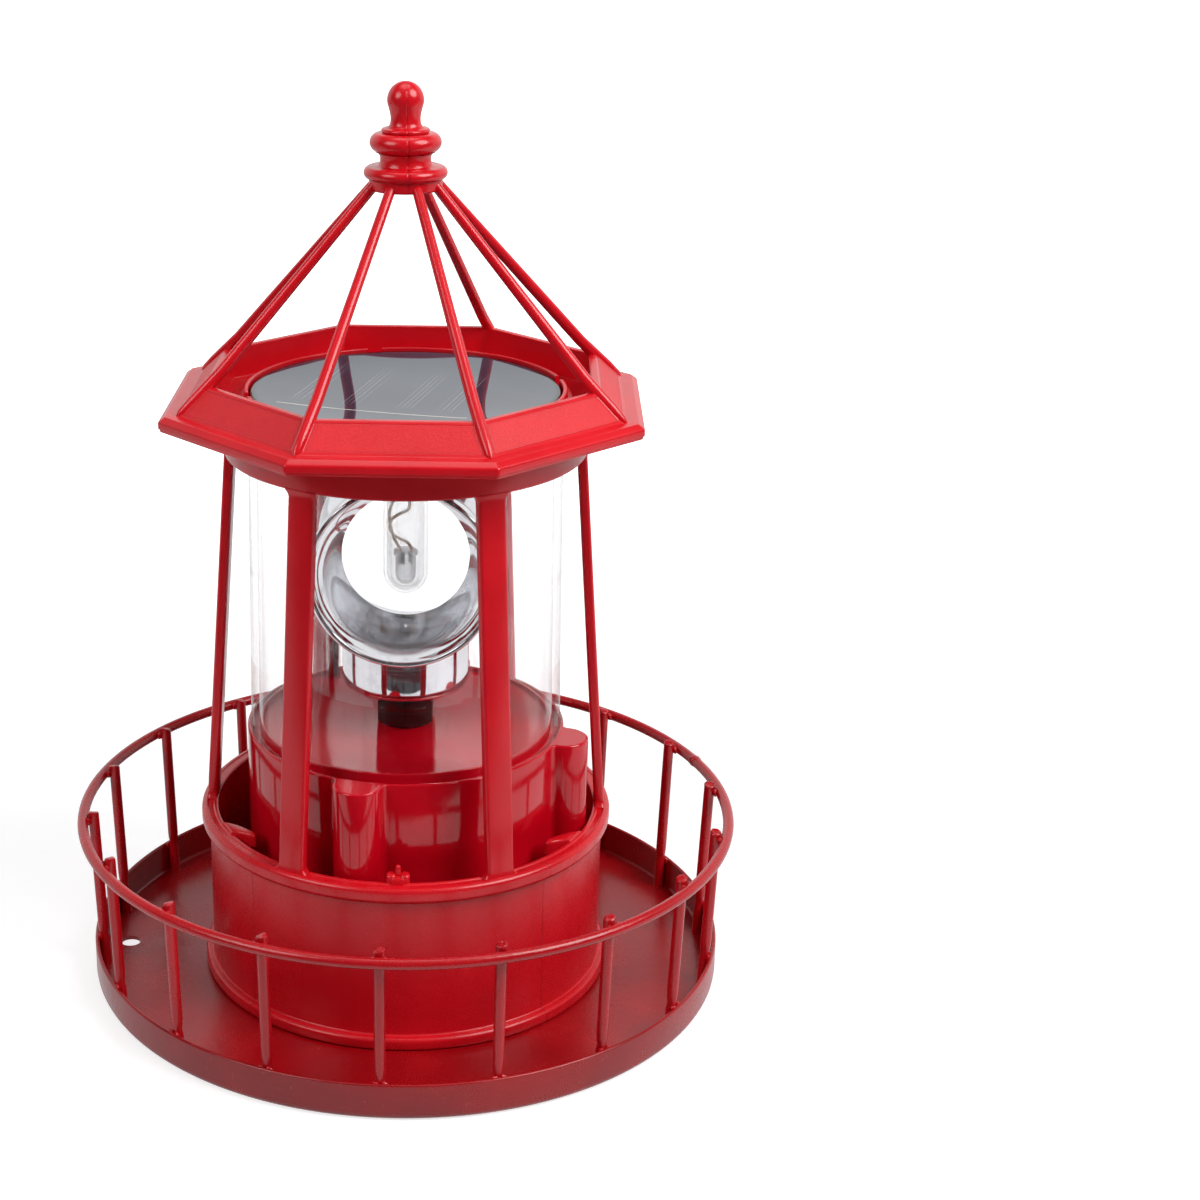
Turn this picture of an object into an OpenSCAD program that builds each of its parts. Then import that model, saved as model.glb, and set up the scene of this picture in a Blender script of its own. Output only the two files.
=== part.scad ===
// Garden lighthouse ornament: a wire-railed gallery tray that carries a plastic
// lantern, with a solar lamp inside that turns a chromed twin-bowl reflector.
// Angles are counted from the front (-Y), positive towards +X.

/* [Tray] */
// Width of the gallery, from the drum's wall to the outside of the rim
walkway = 30.1; // [26:0.1:36]
// Height of the upturned rim above the ground
tray_rim_h = 9.4; // [6:0.2:14]
// Thickness of the steel sheet
sheet_t = 1.0; // [0.8:0.1:1.5]
// How far the centre is pressed up under the lantern
platform_rise = 1.8; // [1.7:0.1:2.2]
// Width of the ring of pressed-up floor that carries the lamp
platform_w = 7.6; // [6.6:0.1:8]
// Diameter of the fixing hole in the pan
fixing_hole_d = 5.2; // [3:0.1:7]
// Distance of the fixing hole's middle from the outside of the rim
fixing_inset = 7.8; // [7:0.1:12]

/* [Railing] */
// Number of balusters
baluster_count = 18; // [12:1:24]
// Wire diameter of the ring and the balusters
wire_d = 2.7; // [2:0.1:3.2]
// Height of the ring's centre above the pan floor
rail_h = 40.4; // [30:0.5:55]
// How far the balusters stand above the ring's centre
baluster_over = 2.9; // [2:0.1:5]
// How far the ring's centre stands out past the pan
rail_out = 1.65; // [1.2:0.05:3]

/* [Drum] */
// Free space between the lamp base and the drum's wall
drum_space = 7.8; // [7.6:0.1:9]
// Wall thickness of the drum
drum_wall = 2.2; // [1.8:0.1:2.4]
// Height of the drum above the pan floor
drum_h = 43; // [38:0.5:50]
// How far the beads stand out of the wall
bead_out = 2.0; // [1:0.1:3]
// Height of the top bead
bead_h = 4.0; // [3:0.1:6]

/* [Posts and collar] */
// Number of posts
post_count = 6; // [4:1:8]
// Width of a post
post_w = 7; // [5:0.1:9]
// Thickness of a post
post_t = 2.5; // [2:0.1:3]
// Free length of the posts, drum to collar
post_span = 91.9; // [80:0.5:110]
// Gap between the clear cylinder and the collar
collar_gap = 3.6; // [3:0.1:5]
// Height of the collar
collar_h = 9.2; // [8:0.1:14]
// Wall thickness of the collar
collar_wall = 2.2; // [1.8:0.1:2.5]

/* [Roof] */
// Number of roof sides and of rods
roof_sides = 8; // [6:1:10]
// How far the lip's corners stand out past the band's top
eaves = 11.3; // [9:0.1:15]
// Height of the lip
lip_h = 3.6; // [2.6:0.1:5]
// Set-back of the sloping band from the lip, at its foot
band_back = 4.6; // [3:0.1:6]
// Distance of the band's top corners from the upstand's foot
channel_w = 9.4; // [8.5:0.1:12]
// Height of the sloping band
band_h = 6.2; // [5:0.1:10]
// Wall thickness of the band
band_wall = 1.9; // [1.4:0.1:2.5]
// Thickness of the roof's floor
roof_floor_t = 2.0; // [1.6:0.1:3]
// Width of the upstand's foot round the opening
upstand_w = 1.2; // [1:0.1:2]
// Height of the upstand above the floor
upstand_h = 3.8; // [3:0.1:5]
// Wall thickness of the upstand's ring over the head's edge
ring_wall = 1.0; // [0.8:0.1:1.4]
// Diameter of the drain hole in the roof's floor
drain_d = 3.0; // [2:0.1:3.5]
// Rod diameter at the foot
rod_foot_d = 2.8; // [2.2:0.1:3.4]
// Rod diameter at the top
rod_top_d = 2.4; // [2:0.1:3]
// Height of the rods
rod_rise = 44.3; // [36:0.1:55]

/* [Finial] */
// Radius of the finial's foot
finial_foot_r = 8.5; // [8:0.1:11]
// Radius of the ball
ball_r = 4.1; // [3:0.1:6]
// Radius of the lower bead
lower_bead_r = 9.7; // [9:0.1:12]
// Radius of the upper bead
upper_bead_r = 8.3; // [7:0.1:10]
// Radius of the neck under the ball
neck_r = 3.2; // [2.6:0.1:3.8]

/* [Lamp base] */
// How far the base's wall stands out past the clear cylinder
glass_lip = 1.0; // [0.8:0.1:1.4]
// Wall thickness of the base
base_wall = 2.0; // [1.6:0.1:2.4]
// Height of the base above its cover
base_h = 59.4; // [57:0.1:70]
// Thickness of the base's top floor
base_floor_t = 3.0; // [2.6:0.1:4]
// Thickness of the bottom cover
cover_t = 3.0; // [2.8:0.1:4]
// Radius of the screw bosses
boss_r = 5.9; // [5:0.1:6.2]
// How far the middle of a boss stands out past the base's wall
boss_out = 1.1; // [0.4:0.1:1.4]

/* [Glass] */
// Outer radius of the clear cylinder at its foot
glass_foot_r = 38.4; // [36:0.1:44]
// How much smaller its outer radius is at the top
glass_taper = 0.8; // [0:0.1:1.4]
// Wall thickness
glass_wall = 2.0; // [1.6:0.1:2.4]
// Depth of the groove that holds the cylinder
groove_d = 1.5; // [1:0.1:2]

/* [Solar panel] */
// How far the panel lies inside the edge of the head
panel_margin = 1.1; // [1:0.1:3]
// Thickness of the panel
panel_t = 2.4; // [2:0.1:3]
// Thickness of the head under the panel
head_t = 1.6; // [1.4:0.1:2.4]

/* [Light] */
// Outer diameter of the clear tube
tube_d = 10.9; // [10:0.1:11.5]
// Wall thickness of the clear tube
tube_wall = 0.9; // [0.7:0.1:1.1]
// Length of the clear tube
tube_len = 47.3; // [42:0.1:48]
// Diameter of the black sleeve
sleeve_d = 7.5; // [6.6:0.1:8]
// Length of the black sleeve
sleeve_len = 20; // [14:0.5:22]
// Diameter of the light-emitting diode
led_d = 5.0; // [4.8:0.1:5.4]
// Length of the diode
led_len = 8.6; // [8:0.1:9]

/* [Reflector] */
// Outer radius of the bowls' rims
rim_r = 22.6; // [20:0.1:23.5]
// Outer radius at the waist between the bowls
waist_r = 16.8; // [16.4:0.1:18]
// Distance of each rim from the turning axis
rim_at = 17.6; // [16:0.1:18]
// Wall thickness
reflector_wall = 1.2; // [1:0.1:1.6]
// Outer radius of the skirt
skirt_r = 15.6; // [14.8:0.1:16]
// Height of the bowls' centre above the skirt's bottom
bowl_rise = 32.6; // [30:0.1:36]
// Running gap between the skirt and the nut
nut_gap = 3.4; // [2:0.1:5]

/* [Drive] */
// Diameter of the drive shaft
shaft_d = 2.0; // [1.6:0.1:2.4]
// Radial running clearance of shafts
run_gap = 0.05; // [0.03:0.01:0.09]
// Gear module
gear_m = 0.6; // [0.5:0.01:0.62]
// Teeth of the output gear
output_teeth = 40; // [36:1:44]
// Teeth of the idler's wheel
idler_teeth = 30; // [26:1:32]
// Teeth of the small pinions
pinion_teeth = 10; // [10:1:12]
// Width of a gear's face
gear_w = 2.6; // [2:0.1:3.2]
// Height of the lock nut
nut_h = 7.4; // [6:0.1:8]
// Radius of the lock nut over its corners
nut_r = 7.7; // [7.4:0.1:9]
// Radius of the motor's can
motor_r = 10; // [8:0.1:11]
// Height of the motor's can
motor_h = 20; // [16:0.5:21]

/* [Electrics] */
// Diameter of the battery cell
cell_d = 14.2; // [13.8:0.1:14.5]
// Length of the battery cell
cell_len = 49.5; // [48:0.1:50.5]
// Thickness of the circuit board
board_t = 1.6; // [1:0.1:2]
// Travel of the power switch
switch_travel = 3.0; // [2:0.1:4]
// Diameter of the wires
lead_d = 1.3; // [1:0.1:1.5]

/* [Fasteners] */
// Thread diameter of the self-tapping screws
screw_d = 2.6; // [2:0.1:2.8]
// Head diameter of the screws
head_d = 4.4; // [4:0.1:4.6]
// Head height of the screws
head_h = 1.6; // [1.2:0.1:1.8]
// Length of the screws under the head
screw_len = 9; // [7:0.5:12]

/* [Hidden] */
$fn = 96;

// Clearances: a loose fit between mouldings, a sliding fit, and a hair gap
loose = 0.4;
slip = 0.15;
hair = 0.05;
// How far a cut runs past the face that it opens
cut = 1;
wire_r = wire_d / 2;
screw_r = screw_d / 2;
head_r = head_d / 2;
lead_r = lead_d / 2;
shaft_r = shaft_d / 2;

// Radii, from the clear cylinder outwards
glass_top_r = glass_foot_r - glass_taper;
base_r = glass_foot_r + glass_lip;
boss_at = base_r + boss_out;
drum_in_r = base_r + drum_space;
drum_r = drum_in_r + drum_wall;
tray_r = drum_r + walkway;
fixing_hole_at = tray_r - fixing_inset;
collar_in_r = glass_top_r + collar_gap;
collar_r = collar_in_r + collar_wall;

// Tray
z_floor = sheet_t;
z_platform = sheet_t + platform_rise;
fixing_angle = -89;
fixing_r = fixing_hole_d / 2;
platform_r = drum_r - drum_wall - loose - platform_rise;
recess_r = platform_r - sheet_t * 0.4;
access_r = platform_r - platform_w;

// Railing
z_rail = z_floor + rail_h;
rail_r = tray_r + rail_out;
baluster_top_r = rail_r - wire_d - hair;
baluster_foot_r = tray_r - sheet_t - wire_r - slip;
baluster_first = -1;
baluster_lean = atan((baluster_top_r - baluster_foot_r) / rail_h);

// Drum, posts and collar
z_drum = z_floor + drum_h;
z_collar = z_drum + post_span;
z_roof = z_collar + collar_h;
post_foot_r = drum_in_r + post_t + 0.3;
post_top_r = collar_r - hair;
web_t = 1.6;
web_down = 4.6;
lug_at = recess_r - head_r - 0.2;
lug_r = lug_at - base_r - 0.3;
lug_angles = [30, 120, 210, 300];
lug_h = screw_len + 1;
lug_web = 3;
hook_h = 2.6;
nub_angle = 1;
nub_w = 5.2;
nub_d = 2.2;
nub_h = 4.5;
nub_over = 2.1;
pip_r = 0.8;
pip_h = 1.9;
hook_outline = [
    for (p = [[0.6, -67], [-2.2, -61.5], [-3.4, -55.5], [-2.8, -54], [-1.2, -57.5], [0.6, -59]])
        polar(drum_in_r + p[0], p[1] - 90)
];

// Roof
corner_turn = 180 / roof_sides;
z_roof_floor = z_roof + roof_floor_t;
z_band_foot = z_roof + lip_h;
z_band_top = z_band_foot + band_h;
head_r_out = glass_top_r + 0.4;
panel_r = head_r_out - panel_margin;
opening_r = head_r_out + loose;
upstand_r = opening_r + upstand_w;
upstand_foot_h = 1.8;
ring_in_r = panel_r + loose;
band_top_r = upstand_r + channel_w;
band_in_r = band_top_r - band_wall;
lip_r = band_top_r + eaves;
band_foot_r = lip_r - band_back;
notch_angles = [-75, 15, 105, 195];
notch_w = 3.6;
drain_angle = -40;
drain_at = (upstand_r + band_in_r * cos(corner_turn)) / 2;
spigot_h = 2.4;
spigot_wall = 1.6;
rod_back = 1.2;
rod_foot_at = band_top_r - rod_back;
z_rod_top = z_band_top + rod_rise;
rod_top_at = finial_foot_r - rod_top_d / 2;

// Finial, from the foot upwards
z_finial = z_rod_top - 1.6;
foot_h = 2.4;
lower_bead_h = 2.9;
waist_h = 3.2;
upper_bead_h = 4.4;
ring_h = 1.0;
ring_r = 5.6;
finial_waist_r = 5.9;
throat_h = 3.4;

// Lamp base
z_cover = z_platform;
z_base = z_cover + cover_t;
z_top = z_base + base_h;
base_in_r = base_r - base_wall;
z_ceiling = z_top - base_floor_t;
boss_angles = [-13, 77, 167];
boss_bite = 0.4;
boss_drop = 0.3;
boss_hole_at = boss_at + 1.6;
cover_r = boss_at + boss_r - 0.3;
cover_sink = head_h + 0.3;
inner_rim_w = 0.8;
inner_rim_h = 1.3;

// Glass and head
z_glass = z_top - groove_d;
head_lift = 1.1;
z_head = z_roof + head_lift;
glass_len = z_head - z_glass;
glass_in_r = glass_foot_r - glass_wall;
glass_top_in_r = glass_top_r - glass_wall;
head_rim_h = 4;
head_rim_wall = 1.4;
socket_h = 6;
z_panel = z_head + head_t;
z_ledge = z_panel + slip;
glass_bead = 0.5;
glass_bead_h = 1.0;

// Light
tube_r = tube_d / 2;
tube_in_r = tube_r - tube_wall;
z_tube = z_head - tube_len;
sleeve_r = sleeve_d / 2;
sleeve_bore_r = 1.5;
z_sleeve = z_head - sleeve_len;
led_r = led_d / 2;
led_flange = 0.45;
led_flange_h = 1.1;
led_lift = 1.4;
z_led = z_tube + tube_wall + led_lift;
z_led_top = z_led + led_len;
pin_r = 0.4;
pin_at = 1.27;
pin_straight = 2;
pin_end = 6;

// Conduit, behind the rear left post
conduit_angle = -142.4;
conduit_r = 1.9;
conduit_in_r = conduit_r - 0.3;
conduit_at = glass_top_in_r - conduit_r - loose;

// Reflector
z_nut = z_top;
z_skirt = z_nut + nut_h + nut_gap;
z_bowl = z_skirt + bowl_rise;
hub_r = 3.2;
hub_h = 5;
skirt_under = 2;
hole_gap = 0.9;
bowl_steps = 6;
bowl_shoulder = 0.84;

// Drive
bush_r = 4;
flange_r = 6;
flange_t = 1.6;
z_flange = z_ceiling - flange_t;
shaft_end = 0.8;
bush_end = 0.3;
gear_gap = 0.4;
gear_hub_h = 1.4;
gear_hub_r = 3;
wheel_gap = 0.8;
plate_gap = 1.2;
z_output = z_flange - gear_gap - gear_hub_h - gear_w;
z_idler_wheel = z_output - wheel_gap - gear_w;
plate_t = 2.0;
z_plate = z_idler_wheel - plate_gap - plate_t;
z_motor = z_plate - motor_h;
output_pitch = gear_m * output_teeth / 2;
idler_pitch = gear_m * idler_teeth / 2;
pinion_pitch = gear_m * pinion_teeth / 2;
mesh_gap = 0.06;
idler_y = output_pitch + pinion_pitch + mesh_gap;
motor_x = idler_pitch + pinion_pitch + mesh_gap;
pin_hold_r = 1.0;
plate_post_r = 3;
post_at_x = output_pitch + plate_post_r;
post_at_y = 6;
post_past = 8;
plate_posts = [[-post_at_x, idler_y], [motor_x + post_past, -post_at_y], [-post_at_x, -post_at_y]];
plate_edge = 4;
plate_low = [-post_at_x - plate_edge, -post_at_y - plate_edge];
plate_high = [motor_x + post_past + plate_edge, idler_y + plate_edge];
plate_slot = [22, 6];
motor_neck_r = 3;
motor_neck_h = 1.4;
motor_neck_low = 1.6;
motor_pin_r = 0.75;
motor_pin_depth = 6;
motor_wire_y = idler_y - 6;

// Electrics
cell_r = cell_d / 2;
cell_nub_r = 2.6;
cell_nub_h = 1.2;
cell_y = -9;
door_t = 1.4;
tab_w = 8;
tab_d = 6.4;
bay_wall = 1.2;
bay_h = 9;
door_w = cell_d + 2.4;
door_len = cell_len + 3;
bay_low = [-door_len / 2 - bay_wall, cell_y - door_w / 2 - bay_wall];
bay_size = [door_len + 2 * bay_wall, door_w + 2 * bay_wall];
z_door = z_cover;
tab_y = cell_y + door_w / 2;
door_screw_y = tab_y + tab_d / 2;
z_cell = z_cover + door_t + 0.5 + cell_r;
contact_t = 0.5;
contact_h = 9;
contact_w = 9;
contact_x = cell_len / 2 + contact_t / 2;
wire_bow = 2;
pad_in = 3;
wire_x = contact_x + 0.4;
z_board = z_cell + cell_r + 4;
board_w = 34;
board_d = 20;
board_y = -15;
board_hole_x = 13;
board_hole_y = board_y - 6.5;
board_edge_y = board_y + board_d / 2;
chip = [5, 4, 1.5];
cap_r = 2.5;
cap_h = 5;
thin_r = lead_r * 0.8;
board_post_r = 2.4;
board_screw_len = 6;
door_boss_r = 3;
door_boss_h = 4;
door_screw_len = 5.6;
switch_y = 16;
switch_w = 8.6;
switch_d = 4.6;
switch_h = 4.5;
knob_w = 3;
knob_d = 2.2;
knob_h = 3.2;
z_switch = z_base;

// Place a child at an angle from the front and a distance from the axis
module at(angle, r, z = 0) {
    rotate([0, 0, angle - 90])
        translate([r, 0, z])
            children();
}

// Upright tube, and upright disc with an optional taper
module tube(r_out, r_in, h) {
    difference() {
        cylinder(r = r_out, h = h);
        translate([0, 0, -cut])
            cylinder(r = r_in, h = h + 2 * cut);
    }
}

// Regular prism or frustum with its corners between the sides
module octagon(r_low, r_high, h) {
    rotate([0, 0, corner_turn - 90])
        cylinder(r1 = r_low, r2 = r_high, h = h, $fn = roof_sides);
}

// Pan-headed screw whose head's underside lies at the origin, shank upwards
module screw(length) {
    slot_w = head_r * 0.35;
    slot_d = head_h * 0.5;
    difference() {
        union() {
            translate([0, 0, -head_h])
                cylinder(r = head_r, h = head_h, $fn = 48);
            translate([0, 0, -hair])
                cylinder(r = screw_r - slip, h = length + hair, $fn = 48);
        }
        for (turn = [0, 90])
            rotate([0, 0, turn])
                translate([-head_r * 0.7, -slot_w / 2, -head_h - cut])
                    cube([head_r * 1.4, slot_w, slot_d + cut]);
    }
}

// Points of one involute tooth flank, from the root outwards
function involute_angle(r, base) = sqrt(max(0, r * r / (base * base) - 1)) * 180 / PI
    - acos(min(1, base / r));
function tooth_half(r, pitch, teeth, thin) =
    90 / teeth - thin / pitch * 90 / PI
    + involute_angle(pitch, pitch * cos(20)) - involute_angle(max(r, pitch * cos(20)), pitch * cos(20));
function tooth_radii(pitch) = [
    pitch - 1.25 * gear_m, pitch - 0.55 * gear_m, pitch, pitch + 0.4 * gear_m, pitch + 0.8 * gear_m
];
function polar(r, a) = [r * cos(a), r * sin(a)];
function gear_outline(teeth) = [
    for (i = [0 : teeth - 1])
        for (side = [-1, 1])
            for (k = [0 : 4])
                let (
                    pitch = gear_m * teeth / 2,
                    r = tooth_radii(pitch)[side < 0 ? k : 4 - k],
                    half = tooth_half(r, pitch, teeth, 0.16)
                )
                polar(r, i * 360 / teeth + side * half)
];

// Gear blank without its bore, a tooth pointing along +X
module gear(teeth, w) {
    linear_extrude(height = w)
        polygon(gear_outline(teeth));
}

// Wire swept along points: rings of eight sides, square to the path
function unit(v) = v / norm(v);
function tangent(path, i) = unit(path[min(i + 1, len(path) - 1)] - path[max(i - 1, 0)]);
function ring(path, i, r, side) =
    let (
        t = tangent(path, i),
        u = unit(cross(t, side)),
        v = cross(t, u)
    )
    [for (a = [0 : 45 : 315]) path[i] + r * (cos(a) * u + sin(a) * v)];
module wire(path, r, side) {
    n = len(path);
    points = [for (i = [0 : n - 1]) each ring(path, i, r, side)];
    skin = [
        for (i = [0 : n - 2])
            for (k = [0 : 7])
                [i * 8 + k, i * 8 + (k + 1) % 8, (i + 1) * 8 + (k + 1) % 8, (i + 1) * 8 + k]
    ];
    foot = [[for (k = [7 : -1 : 0]) k]];
    tip = [[for (k = [0 : 7]) (n - 1) * 8 + k]];
    polyhedron(points, concat(foot, skin, tip), convexity = 6);
}

module gallery_tray() {
    color([0.55, 0.09, 0.11])
    difference() {
        rotate_extrude()
            polygon([
                [access_r, z_platform], [platform_r, z_platform],
                [platform_r + platform_rise, z_floor], [tray_r - sheet_t, z_floor],
                [tray_r - sheet_t, tray_rim_h], [tray_r, tray_rim_h], [tray_r, 0],
                [recess_r + platform_rise, 0], [recess_r, platform_rise], [access_r, platform_rise]
            ]);
        at(fixing_angle, fixing_hole_at, -cut)
            cylinder(r = fixing_r, h = sheet_t + 2 * cut, $fn = 48);
        for (a = lug_angles)
            at(a, lug_at, -cut)
                cylinder(r = screw_r + slip, h = z_platform + 2 * cut, $fn = 48);
    }
}

module railing_ring() {
    color([0.6, 0.1, 0.12])
    translate([0, 0, z_rail])
        rotate_extrude()
            translate([rail_r, 0])
                circle(r = wire_r, $fn = 32);
}

module balusters() {
    length = (rail_h + baluster_over) / cos(baluster_lean);
    color([0.58, 0.1, 0.12])
    for (i = [0 : baluster_count - 1])
        at(baluster_first + i * 360 / baluster_count, baluster_foot_r, z_floor)
            intersection() {
                rotate([0, baluster_lean, 0])
                    translate([0, 0, -wire_d])
                        cylinder(r = wire_r, h = length + wire_d, $fn = 32);
                translate([-walkway / 2, -walkway / 2, 0])
                    cube([walkway, walkway, length + 4 * wire_d]);
            }
}

// Ring of the drum's section with a rounded outer edge
module bead_section(z, h) {
    translate([drum_r - 0.5, z])
        square([bead_out + 0.5 - h * 0.25, h]);
    translate([drum_r + bead_out - h * 0.25, z + h * 0.25])
        square([h * 0.25, h * 0.5]);
    for (up = [0.25, 0.75])
        translate([drum_r + bead_out - h * 0.25, z + h * up])
            circle(r = h * 0.25, $fn = 32);
}

module drum() {
    foot_bead_h = bead_h * 0.8;
    color([0.8, 0.08, 0.1])
    difference() {
        union() {
            rotate_extrude()
                union() {
                    translate([drum_in_r, z_floor])
                        square([drum_wall, drum_h]);
                    bead_section(z_drum - bead_h, bead_h);
                    bead_section(z_floor, foot_bead_h);
                }
            for (a = lug_angles)
                at(a, lug_at, z_platform) {
                    cylinder(r = lug_r, h = lug_h, $fn = 48);
                    translate([0, -lug_web / 2, 0])
                        cube([drum_in_r - lug_at + drum_wall / 2, lug_web, lug_h]);
                }
            for (side = [0, 1])
                mirror([side, 0, 0])
                    translate([0, 0, z_drum - hook_h])
                        linear_extrude(height = hook_h)
                            polygon(hook_outline);
            at(nub_angle, drum_in_r - nub_d, z_drum + nub_over - nub_h)
                translate([0, -nub_w / 2, 0])
                    cube([nub_d + drum_wall / 2, nub_w, nub_h]);
            at(nub_angle, drum_in_r - pip_r, z_drum + nub_over - pip_r)
                cylinder(r = pip_r, h = pip_r + pip_h, $fn = 32);
        }
        for (a = lug_angles)
            at(a, lug_at, z_platform - cut)
                cylinder(r = screw_r, h = screw_len + 0.4 + cut, $fn = 48);
    }
}

module cage_posts() {
    color([0.82, 0.08, 0.1])
    for (i = [0 : post_count - 1])
        at(30 + i * 360 / post_count, 0, z_drum)
            rotate([90, 0, 0])
                linear_extrude(height = post_w, center = true)
                    polygon([
                        [post_foot_r, 0], [post_top_r, post_span],
                        [post_top_r - post_t, post_span], [post_foot_r - post_t, 0]
                    ]);
}

module collar() {
    color([0.82, 0.08, 0.1])
    rotate_extrude()
        polygon([
            [collar_in_r, z_collar], [collar_r, z_collar], [collar_r, z_roof],
            [collar_in_r, z_roof], [collar_in_r, z_roof - web_down + web_t],
            [glass_top_r + loose, z_roof - web_down + web_t],
            [glass_top_r + loose, z_roof - web_down], [collar_in_r, z_roof - web_down]
        ]);
}

module roof_shell() {
    round_h = lip_h * 0.25;
    color([0.82, 0.08, 0.1])
    difference() {
        union() {
            translate([0, 0, z_roof])
                octagon(lip_r - 1.0, lip_r - 0.4, round_h);
            translate([0, 0, z_roof + round_h])
                octagon(lip_r, lip_r, round_h);
            translate([0, 0, z_roof + round_h * 2])
                octagon(lip_r, lip_r - 0.5, round_h);
            translate([0, 0, z_roof + round_h * 3])
                octagon(lip_r - 0.5, lip_r - 1.6, round_h);
            translate([0, 0, z_band_foot])
                octagon(band_foot_r, band_top_r, band_h);
            translate([0, 0, z_roof - spigot_h])
                cylinder(r = collar_in_r - slip, h = spigot_h + cut);
        }
        translate([0, 0, z_roof_floor])
            difference() {
                octagon(band_in_r, band_in_r, z_band_top);
                translate([0, 0, -cut])
                    cylinder(r = upstand_r, h = upstand_foot_h + cut);
                cylinder(r = ring_in_r + ring_wall, h = upstand_h);
            }
        translate([0, 0, z_roof - spigot_h - cut])
            cylinder(r = opening_r, h = z_ledge - z_roof + spigot_h + cut);
        translate([0, 0, z_roof])
            cylinder(r = ring_in_r, h = z_band_top);
        translate([0, 0, z_roof - spigot_h - cut])
            cylinder(r = collar_in_r - slip - spigot_wall, h = spigot_h + cut);
        at(drain_angle, drain_at, z_roof - cut)
            cylinder(r = drain_d / 2, h = roof_floor_t + 2 * cut, $fn = 48);
        for (a = notch_angles)
            at(a, panel_r, z_roof_floor + upstand_foot_h)
                translate([0, -notch_w / 2, 0])
                    cube([upstand_r - panel_r, notch_w, upstand_h]);
    }
}

module roof_rods() {
    run = rod_foot_at - rod_top_at;
    tilt = atan(run / rod_rise);
    spare = 3;
    length = norm([run, rod_rise]) + 2 * spare;
    color([0.84, 0.09, 0.11])
    for (i = [0 : roof_sides - 1])
        at(corner_turn + i * 360 / roof_sides, rod_foot_at, z_band_top)
            difference() {
                rotate([0, -tilt, 0])
                    translate([0, 0, -spare])
                        cylinder(r1 = rod_foot_d / 2, r2 = rod_top_d / 2, h = length, $fn = 32);
                translate([-spare * 2, -spare, -spare * 2])
                    cube([spare * 4, spare * 2, spare * 2]);
                translate([-rod_foot_at, 0, rod_rise / 2])
                    cylinder(r = finial_foot_r, h = rod_rise);
            }
}

module finial() {
    z1 = foot_h;
    z2 = z1 + lower_bead_h;
    z3 = z2 + waist_h;
    z4 = z3 + upper_bead_h;
    z5 = z4 + ring_h;
    z6 = z5 + throat_h;
    ball_z = z6 + ball_r * 0.75;
    color([0.8, 0.08, 0.1])
    translate([0, 0, z_finial])
        rotate_extrude()
            intersection() {
                union() {
                    square([finial_foot_r, foot_h]);
                    translate([0, z1])
                        square([lower_bead_r - lower_bead_h / 2, lower_bead_h]);
                    translate([lower_bead_r - lower_bead_h / 2, z1 + lower_bead_h / 2])
                        circle(r = lower_bead_h / 2, $fn = 48);
                    polygon([
                        [0, z2], [finial_waist_r + 0.8, z2], [finial_waist_r, z2 + waist_h * 0.35],
                        [finial_waist_r, z2 + waist_h * 0.65], [finial_waist_r + 0.8, z3], [0, z3]
                    ]);
                    translate([0, z3])
                        square([upper_bead_r - upper_bead_h / 2, upper_bead_h]);
                    translate([upper_bead_r - upper_bead_h / 2, z3 + upper_bead_h / 2])
                        circle(r = upper_bead_h / 2, $fn = 48);
                    translate([0, z4])
                        square([ring_r - ring_h / 2, ring_h]);
                    translate([ring_r - ring_h / 2, z4 + ring_h / 2])
                        circle(r = ring_h / 2, $fn = 32);
                    polygon([
                        [0, z5], [neck_r + 0.9, z5], [neck_r + 0.2, z5 + throat_h * 0.4],
                        [neck_r, z5 + throat_h * 0.7], [neck_r, ball_z], [0, ball_z]
                    ]);
                    translate([0, ball_z])
                        circle(r = ball_r, $fn = 64);
                }
                translate([0, -cut])
                    square([lower_bead_r + 5, ball_z + ball_r + 2 * cut]);
            }
}

module tray_screws() {
    color([0.7, 0.7, 0.72])
    for (a = lug_angles)
        at(a, lug_at, platform_rise)
            screw(screw_len + sheet_t - 0.5);
}

module lamp_base() {
    rim_out = glass_in_r - slip;
    color([0.75, 0.06, 0.09])
    difference() {
        union() {
            rotate_extrude()
                polygon([
                    [base_in_r, z_base], [base_r, z_base], [base_r, z_top],
                    [glass_foot_r + slip, z_top], [glass_foot_r + slip, z_glass],
                    [rim_out, z_glass], [rim_out, z_top + inner_rim_h],
                    [rim_out - inner_rim_w, z_top + inner_rim_h], [rim_out - inner_rim_w, z_top],
                    [bush_r + slip, z_top], [bush_r + slip, z_ceiling], [base_in_r, z_ceiling]
                ]);
            difference() {
                for (a = boss_angles)
                    at(a, boss_at, z_base)
                        cylinder(r = boss_r, h = base_h - boss_drop, $fn = 64);
                translate([0, 0, z_base - cut])
                    cylinder(r = base_r - boss_bite, h = base_h + 2 * cut);
            }
        }
        for (a = boss_angles)
            at(a, boss_hole_at, z_base - cut)
                cylinder(r = screw_r, h = screw_len + cut, $fn = 48);
        at(conduit_angle, conduit_at, z_ceiling - cut)
            cylinder(r = conduit_in_r, h = base_floor_t + 2 * cut, $fn = 48);
    }
}

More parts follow.
